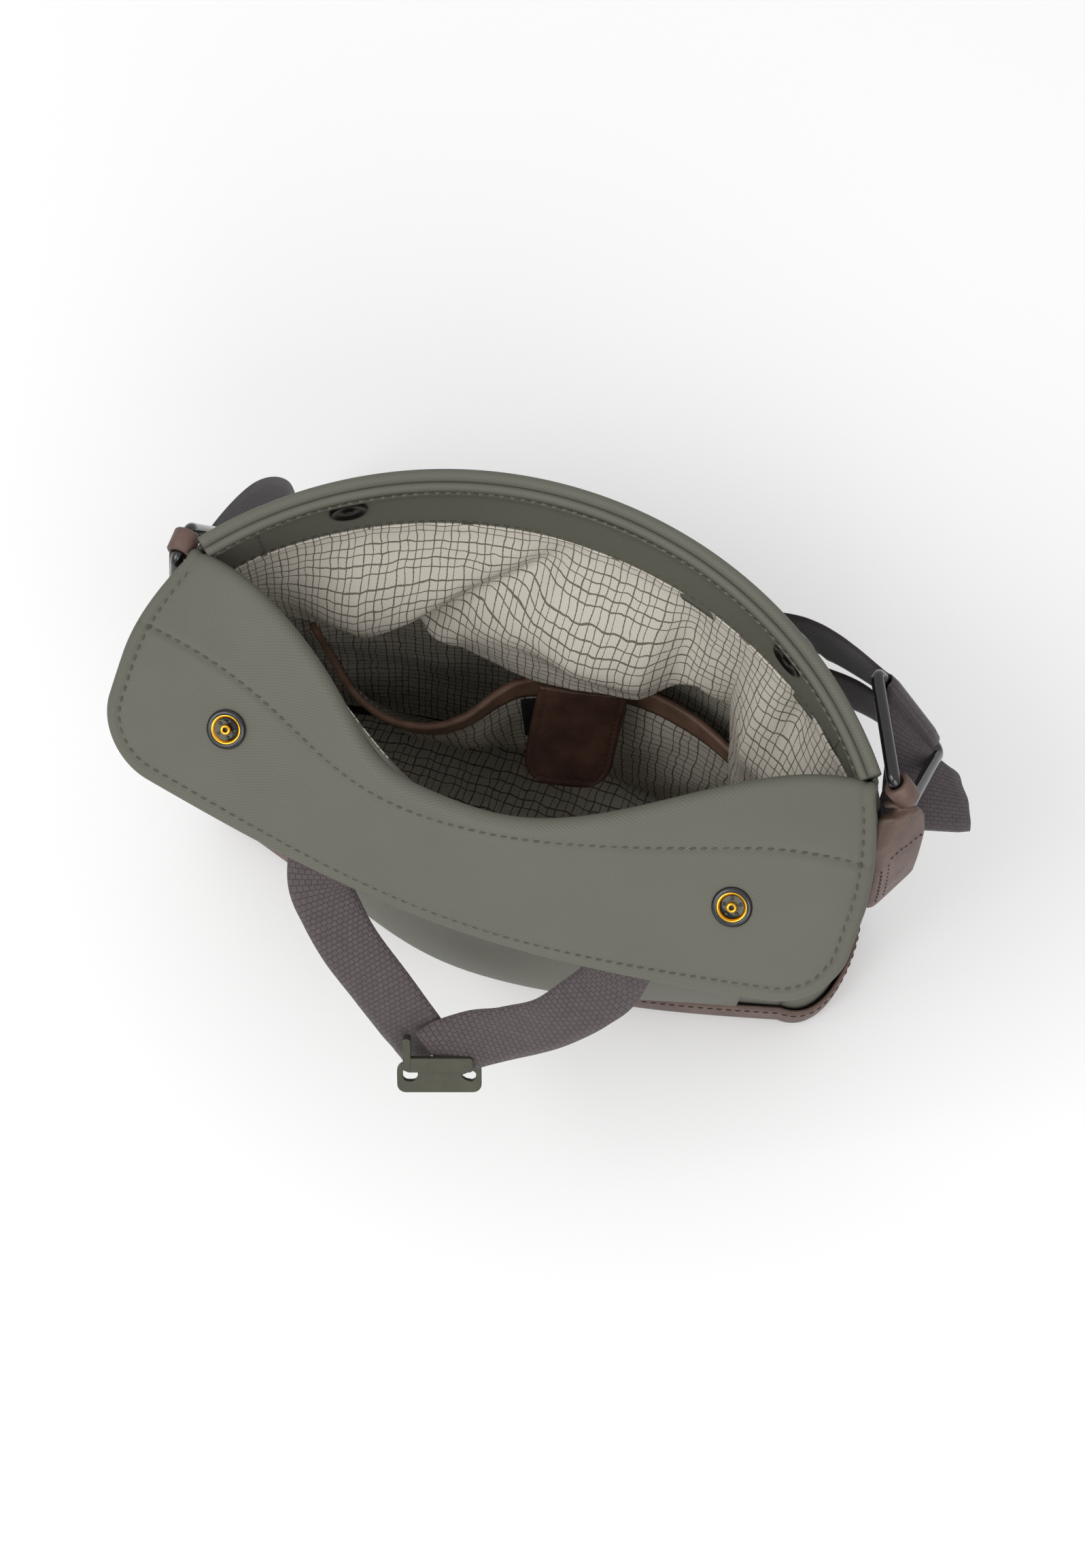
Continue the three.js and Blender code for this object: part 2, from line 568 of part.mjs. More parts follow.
// The hook: a plate over the frame, bent down through the frame's upper slot and under its bar.
const hookShape = new THREE.Shape([
  new THREE.Vector2(-5, 1.6), new THREE.Vector2(2.1, 1.6), new THREE.Vector2(2.1, -1.6),
  new THREE.Vector2(-0.8, -1.6), new THREE.Vector2(-0.8, -3), new THREE.Vector2(3.6, -3),
  new THREE.Vector2(3.6, 1.6), new THREE.Vector2(7, 3.4), new THREE.Vector2(12.5, 3.4),
  new THREE.Vector2(12.5, 5), new THREE.Vector2(6.4, 5), new THREE.Vector2(3, 3.2), new THREE.Vector2(-5, 3.2),
]);
const hook = new THREE.ExtrudeGeometry(hookShape, { depth: 26, bevelEnabled: false }).translate(0, 0, -13);
const hookSlot = new THREE.BoxGeometry(2.4, 8, 21).translate(9.8, 4, 0);
add('buckle_hook', 'dark_metal', place(cut(hook, hookSlot), BUCKLE, buckleY, buckleZ, buckleX));

// Side tabs and rings ----------------------------------------------------------------------------
// The ring is a rounded triangle. Its narrow end sits in the eye of a leather tab, and the strap
// runs over the bar at its wide end.

const EYE = V(144.5, 1.5, 231.5); // centre of the right tab's eye
const RING_REACH = 41; // from the eye to the bar
const RING_CORNERS = [[-6.5, 0], [6.5, 0], [24, RING_REACH], [-24, RING_REACH]];
const EYE_WIDE = 7; // width of the leather round the ring
const TAB_THICK = 3.2; // two leaves of leather sewn together

const mirrored = (v) => V(-v.x, v.y, v.z);
function ringAxes(side, out) {
  side.normalize();
  out.addScaledVector(side, -out.dot(side)).normalize();
  return { side, out, up: side.clone().cross(out).normalize() };
}
const rightRing = { eye: EYE, ...ringAxes(V(0.67, -0.184, -0.72), V(-0.241, 0.911, -0.334)) };
const leftRing = { eye: V(-146.5, 1.5, 231.5), ...ringAxes(V(0, 1, 0), V(0, 0, -1)) };

// The middle of the ring's rod, with rounded corners, as points in the ring's own plane.
function ringPath(radius, perCorner) {
  const path = [];
  RING_CORNERS.forEach((corner, i) => {
    const before = RING_CORNERS[(i + 3) % 4];
    const after = RING_CORNERS[(i + 1) % 4];
    const here = new THREE.Vector2(...corner);
    const back = new THREE.Vector2(...before).sub(here).normalize();
    const on = new THREE.Vector2(...after).sub(here).normalize();
    const reach = radius / Math.tan(Math.acos(back.dot(on)) / 2);
    const start = here.clone().addScaledVector(back, reach);
    const end = here.clone().addScaledVector(on, reach);
    path.push(...new THREE.QuadraticBezierCurve(start, here, end).getPoints(perCorner));
  });
  return path;
}

function ring({ eye, side, out, up }) {
  const path = ringPath(2.6, 4).map((p) => eye.clone().addScaledVector(side, p.x).addScaledVector(out, p.y));
  const loops = path.map((point, i) => {
    const before = path[(i + path.length - 1) % path.length];
    const after = path[(i + 1) % path.length];
    const inward = after.clone().sub(before).cross(up).normalize();
    const loop = [];
    for (let k = 0; k < 8; k++) {
      const turn = (k * PI) / 4;
      const aside = inward.clone().multiplyScalar(ROD * Math.cos(turn));
      loop.push(point.clone().add(aside).addScaledVector(up, ROD * Math.sin(turn)));
    }
    return loop;
  });
  return sweep(loops, true);
}
add('ring_right', 'black_metal', ring(rightRing));
add('ring_left', 'black_metal', ring(leftRing));

// A cylinder round the ring's narrow end.
function sleeve({ eye, side, out, up }, radius, length) {
  const body = new THREE.CylinderGeometry(radius, radius, length, 16).rotateX(PI / 2);
  return place(body, eye, out, up, side);
}

// A tab: leather folded round the ring, narrow at the eye, widening down to its sewn end.
// stations are its middle line below the eye, each with the tab's width and direction there.
function tab(ringPlace, stations) {
  const loops = stations.map(([centre, wide, direction], i) => {
    const before = stations[Math.max(0, i - 1)][0];
    const after = stations[Math.min(stations.length - 1, i + 1)][0];
    const tangent = after.clone().sub(before).normalize();
    const normal = direction.clone().cross(tangent).normalize();
    const side = tangent.clone().cross(normal).normalize();
    const corner = (a, b) =>
      centre.clone().addScaledVector(side, (a * wide) / 2).addScaledVector(normal, (b * TAB_THICK) / 2);
    return [corner(-1, -1), corner(1, -1), corner(1, 1), corner(-1, 1)];
  });
  const leather = join(sleeve(ringPlace, 5, EYE_WIDE), sweep(loops, false));
  return cut(leather, sleeve(ringPlace, 3.2, 3 * EYE_WIDE));
}

const tabAlong = V(0.42, 0.91, 0); // the sewn end's width runs this way on the right
add('side_tab_right', 'tab_leather', tab(rightRing, [
  [V(145.9, -0.3, 227.7), EYE_WIDE, rightRing.side.clone().negate()],
  [V(148, -3, 222), 14, V(0.3, 0.6, 0.55)], [V(151.5, -6.5, 214), 23, V(0.42, 0.88, 0.2)],
  [V(155.5, -10, 204), 27, tabAlong], [V(158.5, -14, 190), 27, tabAlong], [V(159.5, -16, 178), 27, tabAlong],
]));
add('side_tab_left', 'tab_leather', tab(leftRing, [
  [V(-150.2, 0, 229.2), EYE_WIDE, leftRing.side.clone()],
  [V(-154, -4, 221), 14, V(-0.2, 0.9, 0)], [V(-156, -8, 212), 23, V(-0.36, 0.91, 0)],
  [V(-157.5, -11, 203), 27, mirrored(tabAlong)], [V(-158.5, -14, 190), 27, mirrored(tabAlong)],
  [V(-159.5, -16, 178), 27, mirrored(tabAlong)],
]));

// The shoulder strap -------------------------------------------------------------------------------
// It starts behind the bag, passes through the right ring, stands beside the bag in a bight, runs
// through the slider behind the bag, lies folded on the ground there, and rises to the left ring.
// The turns of webbing round the two rings' bars are pieces of their own, which move with the rings.

// A point by a ring's bar: so far along the ring's reach, and so far up from its plane.
const byBar = ({ eye, out, up }) => (alongOut, alongUp) =>
  eye.clone().addScaledVector(out, RING_REACH + alongOut).addScaledVector(up, alongUp);
const atRight = byBar(rightRing);
const atLeft = byBar(leftRing);
const WRAP = ROD + STRAP_THICK / 2 + 0.7; // radius of the webbing's turn round a bar
const LEG = 9; // how far the turn's straight legs reach past the bar
const LEG_GAP = 1.6; // room between a leg and the strap that carries on from it

function turnRoundBar({ out, up }, at, legBelow, legAbove) {
  const stations = [[at(legBelow, -WRAP), up.clone().negate()]];
  for (let i = 0; i <= 8; i++) {
    const angle = lerp(-PI / 2, PI / 2, i / 8);
    const [ahead, above] = [-Math.cos(angle), Math.sin(angle)];
    const facing = out.clone().multiplyScalar(ahead).addScaledVector(up, above);
    stations.push([at(WRAP * ahead, WRAP * above), facing]);
  }
  stations.push([at(legAbove, WRAP), up.clone()]);
  return ribbon(stations, STRAP, 20);
}
add('strap_turn_right', 'webbing', turnRoundBar(rightRing, atRight, LEG, LEG));
add('strap_turn_left', 'webbing', turnRoundBar(leftRing, atLeft, LEG + 4, LEG));
const { up: ringUp } = rightRing;
const { up: leftUp } = leftRing;

const RUN_HIGH = V(108, 68, 142); // the straight run behind the bag that the slider travels on
const RUN_LOW = V(-96, 86, 46);
const runDown = RUN_LOW.clone().sub(RUN_HIGH).normalize();
const runAt = (share) => RUN_HIGH.clone().lerp(RUN_LOW, share);
const runFace = V(0, 1, 0.06);
const FLOOR_Y = 99;
const [LAYER_1, LAYER_2, LAYER_3] = [1.4, 6.6, 11.8];

add('strap_return', 'webbing', ribbon([
  [V(44, 83, 120), V(0, -1, 0)], [V(60, 81, 136), V(0, -1, 0)], [V(80, 79, 160), V(-0.05, -1, 0)],
  [V(102, 74, 188), V(-0.2, -0.95, -0.2)], [V(117, 66, 203), V(-0.45, -0.8, -0.4)],
  [atRight(LEG + LEG_GAP + 9, -WRAP), ringUp.clone().negate()],
  [atRight(LEG + LEG_GAP, -WRAP), ringUp.clone().negate()],
], STRAP, 20));

const strapStations = [
  [atRight(LEG + LEG_GAP, WRAP), ringUp], [atRight(LEG + LEG_GAP + 9, WRAP + 1), ringUp],
  [V(141, 66, 211), V(0.3, -0.8, 0.4)], [V(154, 62, 208), V(-0.2, -1, 0.1)],
  [V(164, 46, 205), V(-0.85, -0.5, -0.2)], [V(168, 30, 200), V(-0.95, -0.1, -0.3)],
  [V(168, 15, 195), V(-0.95, 0.1, -0.3)], [V(162, 4.5, 188), V(-0.3, 0.9, -0.1)],
  [V(153.5, 7, 181), V(0.7, 0.6, 0.2)], [V(152, 20, 173), V(0.95, 0.1, 0.2)],
  [V(150, 40, 164), V(0.9, 0.4, 0.1)], [V(138, 58, 154), V(0.5, 0.85, 0.1)],
  [runAt(0), runFace], [runAt(0.3), runFace], [runAt(0.65), runFace], [runAt(1), runFace],
  [V(-112, 92, 30), V(0, 0.8, 0.4)], [V(-125, 97.5, 17), V(-0.1, 0.35, 0.93)],
  [V(-136, FLOOR_Y, LAYER_3), V(0, 0, 1)],
  [V(-138.6, FLOOR_Y, (LAYER_2 + LAYER_3) / 2), V(-1, 0, 0)],
  [V(-136, FLOOR_Y, LAYER_2), V(0, 0, -1)], [V(-40, FLOOR_Y, LAYER_2), V(0, 0, -1)],
  [V(60, FLOOR_Y, LAYER_2), V(0, 0, -1)], [V(62.6, FLOOR_Y, (LAYER_1 + LAYER_2) / 2), V(-1, 0, 0)],
  [V(60, FLOOR_Y, LAYER_1), V(0, 0, 1)], [V(-40, FLOOR_Y, LAYER_1), V(0, 0, 1)],
  [V(-130, FLOOR_Y, LAYER_1), V(0, 0, 1)], [V(-147, FLOOR_Y, LAYER_1 + 0.5), V(0, 0, 1)],
  [V(-155, FLOOR_Y, LAYER_1 + 4), V(0.7, 0, 0.7)], [V(-158.5, 98.5, LAYER_1 + 13), V(1, 0, 0.1)],
  [V(-159, 94, 50), V(1, 0, 0)], [V(-158, 70, 98), V(1, 0, 0)],
  [V(-155, 34, 138), V(1, 0, 0)], [V(-151.5, 8, 160), V(1, 0, 0)],
  [atLeft(LEG + LEG_GAP + 9, WRAP), leftUp.clone().negate()],
  [atLeft(LEG + LEG_GAP, WRAP), leftUp.clone().negate()],
];
add('shoulder_strap', 'webbing', ribbon(strapStations, STRAP, 120));

// The slider: a frame in front of the strap with its middle bar behind it.
const sliderX = runDown.clone();
const sliderZ = runFace.clone().addScaledVector(sliderX, -runFace.dot(sliderX)).normalize();
const sliderY = sliderZ.clone().cross(sliderX).normalize();
const sliderBody = () => {
  const shape = new THREE.Shape();
  const [long, wide] = [14, STRAP / 2 + 4];
  shape.moveTo(-long, -wide).lineTo(long, -wide).lineTo(long, wide).lineTo(-long, wide);
  const hole = new THREE.Path();
  hole.moveTo(-long + 3, -wide + 3);
  hole.lineTo(-long + 3, wide - 3);
  hole.lineTo(long - 3, wide - 3);
  hole.lineTo(long - 3, -wide + 3);
  shape.holes.push(hole);
  const face = new THREE.ExtrudeGeometry(shape, { depth: 2.2, bevelEnabled: false }).translate(0, 0, 1.5);
  const bar = new THREE.BoxGeometry(4, 2 * wide - 0.2, 2).translate(0, 0, -2.5);
  const post = (side) => new THREE.BoxGeometry(3.6, 2.6, 6).translate(0, side * (wide - 1.5), -0.4);
  return join(face, bar, post(1), post(-1));
};
add('strap_slider', 'black_metal', place(sliderBody(), runAt(0.45), sliderX, sliderY, sliderZ));

export default bag;
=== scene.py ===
# A small flap messenger bag, standing open with its flap thrown back, seen from above.
# Shapes are worked out in millimetres in the shared frame and written to Blender in metres.
import json
import math
import random

import bpy
import numpy as np
from mathutils import Matrix, Vector


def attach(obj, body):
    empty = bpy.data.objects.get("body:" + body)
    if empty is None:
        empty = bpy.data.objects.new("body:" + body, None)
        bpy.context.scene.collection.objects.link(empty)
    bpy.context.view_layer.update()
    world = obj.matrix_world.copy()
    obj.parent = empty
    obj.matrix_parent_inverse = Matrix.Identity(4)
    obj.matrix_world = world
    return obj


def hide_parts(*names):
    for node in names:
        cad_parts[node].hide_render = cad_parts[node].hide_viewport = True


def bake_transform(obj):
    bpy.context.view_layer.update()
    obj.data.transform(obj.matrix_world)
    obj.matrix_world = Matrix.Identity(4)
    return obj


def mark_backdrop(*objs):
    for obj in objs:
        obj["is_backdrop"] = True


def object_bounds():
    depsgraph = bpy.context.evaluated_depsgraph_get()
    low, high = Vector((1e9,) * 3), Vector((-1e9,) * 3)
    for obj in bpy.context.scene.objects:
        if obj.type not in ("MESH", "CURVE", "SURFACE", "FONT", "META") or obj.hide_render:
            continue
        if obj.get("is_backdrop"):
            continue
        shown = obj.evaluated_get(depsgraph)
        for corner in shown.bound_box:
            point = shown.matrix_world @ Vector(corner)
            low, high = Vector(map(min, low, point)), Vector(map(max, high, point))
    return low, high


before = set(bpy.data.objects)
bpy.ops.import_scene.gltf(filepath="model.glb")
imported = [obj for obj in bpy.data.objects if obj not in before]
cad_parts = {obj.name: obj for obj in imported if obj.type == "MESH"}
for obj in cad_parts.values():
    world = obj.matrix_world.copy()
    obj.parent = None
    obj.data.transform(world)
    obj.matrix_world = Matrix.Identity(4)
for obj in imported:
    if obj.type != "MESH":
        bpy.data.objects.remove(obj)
cad_low, cad_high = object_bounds()
MM = 0.001
PI = math.pi
rng = random.Random(11)

# The bag's driving dimensions, as in the CAD model
MOUTH_HALF, FRONT_BULGE, BACK_BULGE = 134.0, 67.5, 60.0
CORNER_Z, FRONT_Z, CREST_Z = 235.0, 240.0, 228.0
BASE_HALF, BASE_NOSE, BASE_CORNER_Y = 127.0, 18.0, 31.0
BASE_FRONT, BASE_BACK = 19.0, 24.0
GUSSET_TOP, SKIN, FACING, TRAY = 18.0, 2.2, 29.0, 22.0
FLAP_CLOTH, SEAM_CLOTH, FLAP_HALF, FLAP_RADIUS = 85.0, 33.0, 146.0, 22.0
FLAP_SIDE_DROP, FLAP_MID_DROP = 26.0, 55.0
SNAP_X, SNAP_CLOTH = 96.0, 52.0
WEBBING, STRAP, STRAP_THICK, ROD = 25.0, 36.0, 1.6, 2.5
GUSSET_BULGE = 9.0
FRONT_RADIUS = (MOUTH_HALF**2 + FRONT_BULGE**2) / (2 * FRONT_BULGE)
CORNER_ANGLE = math.asin(MOUTH_HALF / FRONT_RADIUS)
PANEL_ANGLE = CORNER_ANGLE - GUSSET_TOP / FRONT_RADIUS
TRAY_SHARE = (TRAY + 1) / CORNER_Z
FACING_LOW = 1 - FACING / CORNER_Z


# Small helpers
def unit(v):
    """Vectors along the last axis, made one long."""
    v = np.asarray(v, float)
    return v / np.linalg.norm(v, axis=-1, keepdims=True)


def between(at, places, points):
    """Points at some places on a line whose own points have the given places."""
    return np.stack([np.interp(at, places, np.asarray(points)[:, k]) for k in range(3)], -1)


def run_lengths(points):
    """The length of a line up to each of its points."""
    return np.concatenate([[0], np.cumsum(np.linalg.norm(np.diff(points, axis=0), axis=1))])


def smooth(t):
    t = np.clip(t, 0, 1)
    return t * t * (3 - 2 * t)


def bell(x, middle, width):
    return np.exp(-(((x - middle) / width) ** 2))


def directions(surface, a, b, step):
    """The ways a surface runs along its two coordinates at a place."""
    a, b = np.asarray(a, float), np.asarray(b, float)
    return surface(a + step, b) - surface(a - step, b), surface(a, b + step) - surface(a, b - step)


# Camera
def look(azimuth, elevation, distance, target, lens):
    a, e = math.radians(azimuth), math.radians(elevation)
    back = Vector((math.sin(a) * math.cos(e), -math.cos(a) * math.cos(e), math.sin(e)))
    right = Vector((math.cos(a), math.sin(a), 0))
    up = back.cross(right)
    data = bpy.data.cameras.new("Camera")
    data.lens, data.sensor_width = lens, 36
    data.clip_start, data.clip_end = 0.02, 20
    camera = bpy.data.objects.new("Camera", data)
    turn = Matrix((right, up, back)).transposed().to_4x4()
    camera.matrix_world = Matrix.Translation(Vector(target) * MM + back * distance) @ turn
    bpy.context.scene.collection.objects.link(camera)
    bpy.context.scene.camera = camera


look(20.3, 71.0, 1.0, (19.6, -40.5, 228.0), 62.42)


# Materials
class Shader:
    """A small helper for node trees: every method returns an output socket."""

    def __init__(self, name, roughness=0.7, metallic=0.0, **more):
        self.material = bpy.data.materials.new(name)
        self.material.use_nodes = True
        self.tree = self.material.node_tree
        self.body = self.tree.nodes["Principled BSDF"]
        self.body.inputs["Roughness"].default_value = roughness
        self.body.inputs["Metallic"].default_value = metallic
        for key, value in more.items():
            self.body.inputs[key.replace("_", " ")].default_value = value

    def node(self, kind, **inputs):
        made = self.tree.nodes.new(kind)
        for key, value in inputs.items():
            self.put(made.inputs[key.replace("_", " ")], value)
        return made

    def put(self, socket, value):
        if isinstance(value, bpy.types.NodeSocket):
            self.tree.links.new(value, socket)
        else:
            socket.default_value = value

    def math(self, operation, a, b=0.0):
        made = self.tree.nodes.new("ShaderNodeMath")
        made.operation = operation
        self.put(made.inputs[0], a)
        self.put(made.inputs[1], b)
        return made.outputs[0]

    def times(self, a, b):
        return self.math("MULTIPLY", a, b)

    def plus(self, a, b):
        return self.math("ADD", a, b)

    def minus(self, a, b):
        return self.math("SUBTRACT", a, b)

    def sine(self, a):
        return self.math("SINE", a)

    def uv(self):
        return self.tree.nodes.new("ShaderNodeTexCoord").outputs["UV"]

    def place(self):
        return self.tree.nodes.new("ShaderNodeTexCoord").outputs["Object"]

    def noise(self, scale, vector, detail=3.0):
        made = self.node("ShaderNodeTexNoise", Scale=scale, Detail=detail)
        self.put(made.inputs["Vector"], vector)
        return made.outputs["Fac"]

    def ramp(self, fac, low, high, start=0.3, end=0.7):
        made = self.tree.nodes.new("ShaderNodeValToRGB")
        made.color_ramp.elements[0].position = start
        made.color_ramp.elements[1].position = end
        made.color_ramp.elements[0].color = (*low, 1)
        made.color_ramp.elements[1].color = (*high, 1)
        self.put(made.inputs["Fac"], fac)
        return made.outputs["Color"]

    def mix(self, fac, a, b):
        made = self.tree.nodes.new("ShaderNodeMix")
        made.data_type = "RGBA"
        self.put(made.inputs[0], fac)
        self.put(made.inputs[6], a)
        self.put(made.inputs[7], b)
        return made.outputs[2]

    def colour(self, value):
        self.put(self.body.inputs["Base Color"], value)

    def bump(self, height, distance, strength=1.0):
        made = self.node("ShaderNodeBump", Strength=strength, Distance=distance)
        self.put(made.inputs["Height"], height)
        before = self.body.inputs["Normal"]
        if before.is_linked:
            self.put(made.inputs["Normal"], before.links[0].from_socket)
        self.put(before, made.outputs["Normal"])


def srgb(r, g, b):
    return tuple((c / 255 / 12.92) if c <= 10 else ((c / 255 + 0.055) / 1.055) ** 2.4 for c in (r, g, b))


def canvas_material():
    s = Shader("canvas", 0.62, Specular_IOR_Level=0.35)
    u, v = s.node("ShaderNodeSeparateXYZ", Vector=s.uv()).outputs[:2]
    warp = s.sine(s.times(u, 2 * PI / 1.3))
    weft = s.sine(s.times(v, 2 * PI / 1.3))
    weave = s.times(warp, weft)
    cloud = s.noise(30.0, s.place(), 4.0)
    tone = s.ramp(cloud, srgb(81, 81, 72), srgb(86, 86, 76))
    grain = s.plus(s.times(weave, 0.3), 0.3)
    s.colour(s.mix(grain, tone, (*srgb(105, 105, 95), 1)))
    s.bump(weave, 0.00007, 0.6)
    s.bump(s.noise(240.0, s.place(), 3.0), 0.0002, 0.35)
    return s.material


CHECK = 15.5  # the lining's pattern repeats after this length


def lining_material():
    s = Shader("lining", 0.85, Specular_IOR_Level=0.2)
    uv = s.uv()
    u, v = s.node("ShaderNodeSeparateXYZ", Vector=uv).outputs[:2]
    wobble = s.times(s.minus(s.noise(0.09, uv, 2.0), 0.5), 3.6)

    def lines(axis, offset, width):
        share = s.math("FRACT", s.math("DIVIDE", s.plus(axis, s.plus(wobble, offset)), CHECK))
        near = s.math("ABSOLUTE", s.minus(share, 0.5))
        return s.math("LESS_THAN", near, width / CHECK / 2)

    grid = 0.0
    for axis in (u, v):
        for offset, width in ((0.0, 0.56), (3.2, 0.42), (8.2, 0.6), (11.9, 0.42)):
            found = lines(axis, offset, width)
            grid = found if grid == 0.0 else s.math("MAXIMUM", grid, found)
    twill = s.sine(s.times(s.plus(u, v), 2 * PI / 0.85))
    fine = s.sine(s.times(s.minus(u, v), 2 * PI / 1.3))
    weave = s.times(s.plus(twill, fine), 0.5)
    share = s.plus(s.times(weave, 0.45), 0.5)
    cloth = s.mix(share, (*srgb(176, 171, 160), 1), (*srgb(208, 203, 192), 1))
    speck = s.plus(s.times(weave, 0.15), 0.86)
    s.colour(s.mix(s.times(grid, speck), cloth, (*srgb(84, 73, 63), 1)))
    s.bump(weave, 0.00006, 0.5)
    return s.material


def leather_material(name, low, high, grain=620.0):
    s = Shader(name, 0.5, Specular_IOR_Level=0.4)
    cloud = s.noise(90.0, s.place(), 5.0)
    s.colour(s.ramp(cloud, srgb(*low), srgb(*high), 0.35, 0.68))
    pores = s.node("ShaderNodeTexVoronoi", Scale=grain)
    s.put(pores.inputs["Vector"], s.place())
    s.bump(pores.outputs["Distance"], 0.00025, 0.5)
    s.bump(s.noise(200.0, s.place(), 4.0), 0.0004, 0.4)
    return s.material


def webbing_material(name, low, high, across, along):
    s = Shader(name, 0.6, Specular_IOR_Level=0.35, Sheen_Weight=0.15)
    uv = s.uv()
    size = {"Brick_Width": across, "Row_Height": along}
    brick = s.node("ShaderNodeTexBrick", Scale=1.0, Mortar_Size=0.2, Mortar_Smooth=0.6, **size)
    brick.offset = 0.5
    s.put(brick.inputs["Vector"], uv)
    u = s.node("ShaderNodeSeparateXYZ", Vector=uv).outputs[0]
    threads = s.sine(s.times(u, 2 * PI / 0.42))
    cloud = s.noise(0.25, uv, 3.0)
    tone = s.ramp(cloud, srgb(*low), srgb(*high), 0.25, 0.75)
    dark = s.times(brick.outputs["Fac"], 0.85)
    s.colour(s.mix(dark, tone, (*srgb(40, 34, 36), 1)))
    height = s.minus(s.times(threads, 0.12), brick.outputs["Fac"])
    s.bump(height, 0.0003, 0.7)
    return s.material


def plain_material(name, rgb, roughness, metallic=0.0, grain=0.0, **more):
    s = Shader(name, roughness, metallic, **more)
    cloud = s.noise(180.0, s.place(), 3.0)
    base = srgb(*rgb)
    s.colour(s.ramp(cloud, tuple(c * 0.88 for c in base), tuple(min(1, c * 1.1) for c in base)))
    if grain:
        s.bump(s.noise(900.0, s.place(), 2.0), grain, 0.5)
    return s.material


CANVAS = canvas_material()
LINING = lining_material()
LEATHER = leather_material("leather_dark", (52, 33, 26), (74, 49, 38))
TAB_LEATHER = leather_material("leather_tab", (76, 58, 51), (98, 77, 68))
EDGE_LEATHER = leather_material("leather_edge", (96, 72, 58), (126, 98, 82))
WEB_NARROW = webbing_material("webbing_narrow", (70, 60, 62), (82, 72, 73), 2.4, 2.0)
WEB_WIDE = webbing_material("webbing_wide", (58, 50, 53), (72, 63, 67), 3.0, 1.7)
THREAD = plain_material("thread_grey", (74, 72, 61), 0.7)
THREAD_BROWN = plain_material("thread_brown", (44, 30, 26), 0.7)
BLACK = plain_material("black_enamel", (14, 14, 14), 0.16, 0.3, Coat_Weight=0.6)
OLIVE_METAL = plain_material("olive_enamel", (68, 68, 56), 0.38, 0.4, 0.00003)
GUNMETAL = plain_material("gunmetal", (70, 70, 72), 0.22, 1.0)
DARK_CUP = plain_material("dark_cup", (38, 40, 42), 0.3, 0.9)
CAP_BLACK = plain_material("cap_black", (24, 22, 20), 0.3, 0.6)
GOLD = plain_material("gold", (226, 178, 64), 0.18, 1.0)
HOOK = plain_material("hook_tape", (18, 17, 17), 1.0, 0.0, 0.0006)


# Making meshes
def finish_mesh(name, vertices, faces, material, uvs=None, smooth=True):
    mesh = bpy.data.meshes.new(name)
    mesh.from_pydata([tuple(v) for v in vertices], [], faces)
    if uvs is not None:
        layer = mesh.uv_layers.new(name="UVMap")
        loops = np.empty(len(mesh.loops), np.int32)
        mesh.loops.foreach_get("vertex_index", loops)
        layer.data.foreach_set("uv", np.asarray(uvs, np.float32)[loops].ravel())
    mesh.materials.append(material)
    mesh.polygons.foreach_set("use_smooth", [smooth] * len(mesh.polygons))
    mesh.update()
    obj = bpy.data.objects.new(name, mesh)
    bpy.context.scene.collection.objects.link(obj)
    return obj


def skin(rings, sides, closed=False, first=0, flip=False):
    """Faces over a run of rings of points, capped at both ends unless the run closes on itself."""
    faces = []
    for i in range(rings if closed else rings - 1):
        for k in range(sides):
            a, d = first + i * sides + k, first + (i + 1) % rings * sides + k
            step = (k + 1) % sides - k
            faces.append((a, a + step, d + step, d))
    if not closed:
        last = first + (rings - 1) * sides
        faces += [tuple(range(first, first + sides))[::-1], tuple(range(last, last + sides))]
    return [face[::-1] for face in faces] if flip else faces


def lengths(points):
    """Mean lengths of a grid of points along its two directions."""
    du = np.linalg.norm(np.diff(points, axis=0), axis=-1).sum(0).mean()
    dv = np.linalg.norm(np.diff(points, axis=1), axis=-1).sum(1).mean()
    return du, dv


def grid_faces(columns, rows, offset=0, flip=False):
    faces = []
    for i in range(columns):
        for j in range(rows):
            a = offset + i * (rows + 1) + j
            quad = (a, a + rows + 1, a + rows + 2, a + 1)
            faces.append(quad[::-1] if flip else quad)
    return faces


def normals(points):
    du = np.gradient(points, axis=0)
    dv = np.gradient(points, axis=1)
    n = np.cross(du, dv)
    return n / np.maximum(np.linalg.norm(n, axis=-1, keepdims=True), 1e-9)


def cloth(name, surface, columns, rows, material, low=0.0, high=1.0, size=None, top=None, vs=None):
    """A closed sheet: surface(u, v) between two offsets along its normal, meshed with shared edges."""
    vs = np.linspace(0, 1, rows + 1) if vs is None else vs
    u, v = np.meshgrid(np.linspace(0, 1, columns + 1), vs, indexing="ij")
    base = surface(u, v)
    n = normals(base)
    rise = np.full(u.shape, high) if top is None else top(u, v)
    drop = np.full(u.shape, low) if np.isscalar(low) else low(u, v)
    upper = base + n * rise[..., None]
    lower = base + n * drop[..., None]
    width, height = size or lengths(base)
    flat = np.stack([u * width, v * height], -1).reshape(-1, 2)
    count = (columns + 1) * (rows + 1)
    vertices = np.concatenate([upper.reshape(-1, 3), lower.reshape(-1, 3)]) * MM
    faces = grid_faces(columns, rows) + grid_faces(columns, rows, count, True)
    ring = [(i, 0) for i in range(columns)] + [(columns, j) for j in range(rows)]
    ring += [(i, rows) for i in range(columns, 0, -1)] + [(0, j) for j in range(rows, 0, -1)]
    index = [i * (rows + 1) + j for i, j in ring]
    for k, a in enumerate(index):
        b = index[(k + 1) % len(index)]
        faces.append((b, a, a + count, b + count))
    return finish_mesh(name, vertices, faces, material, np.concatenate([flat, flat]))


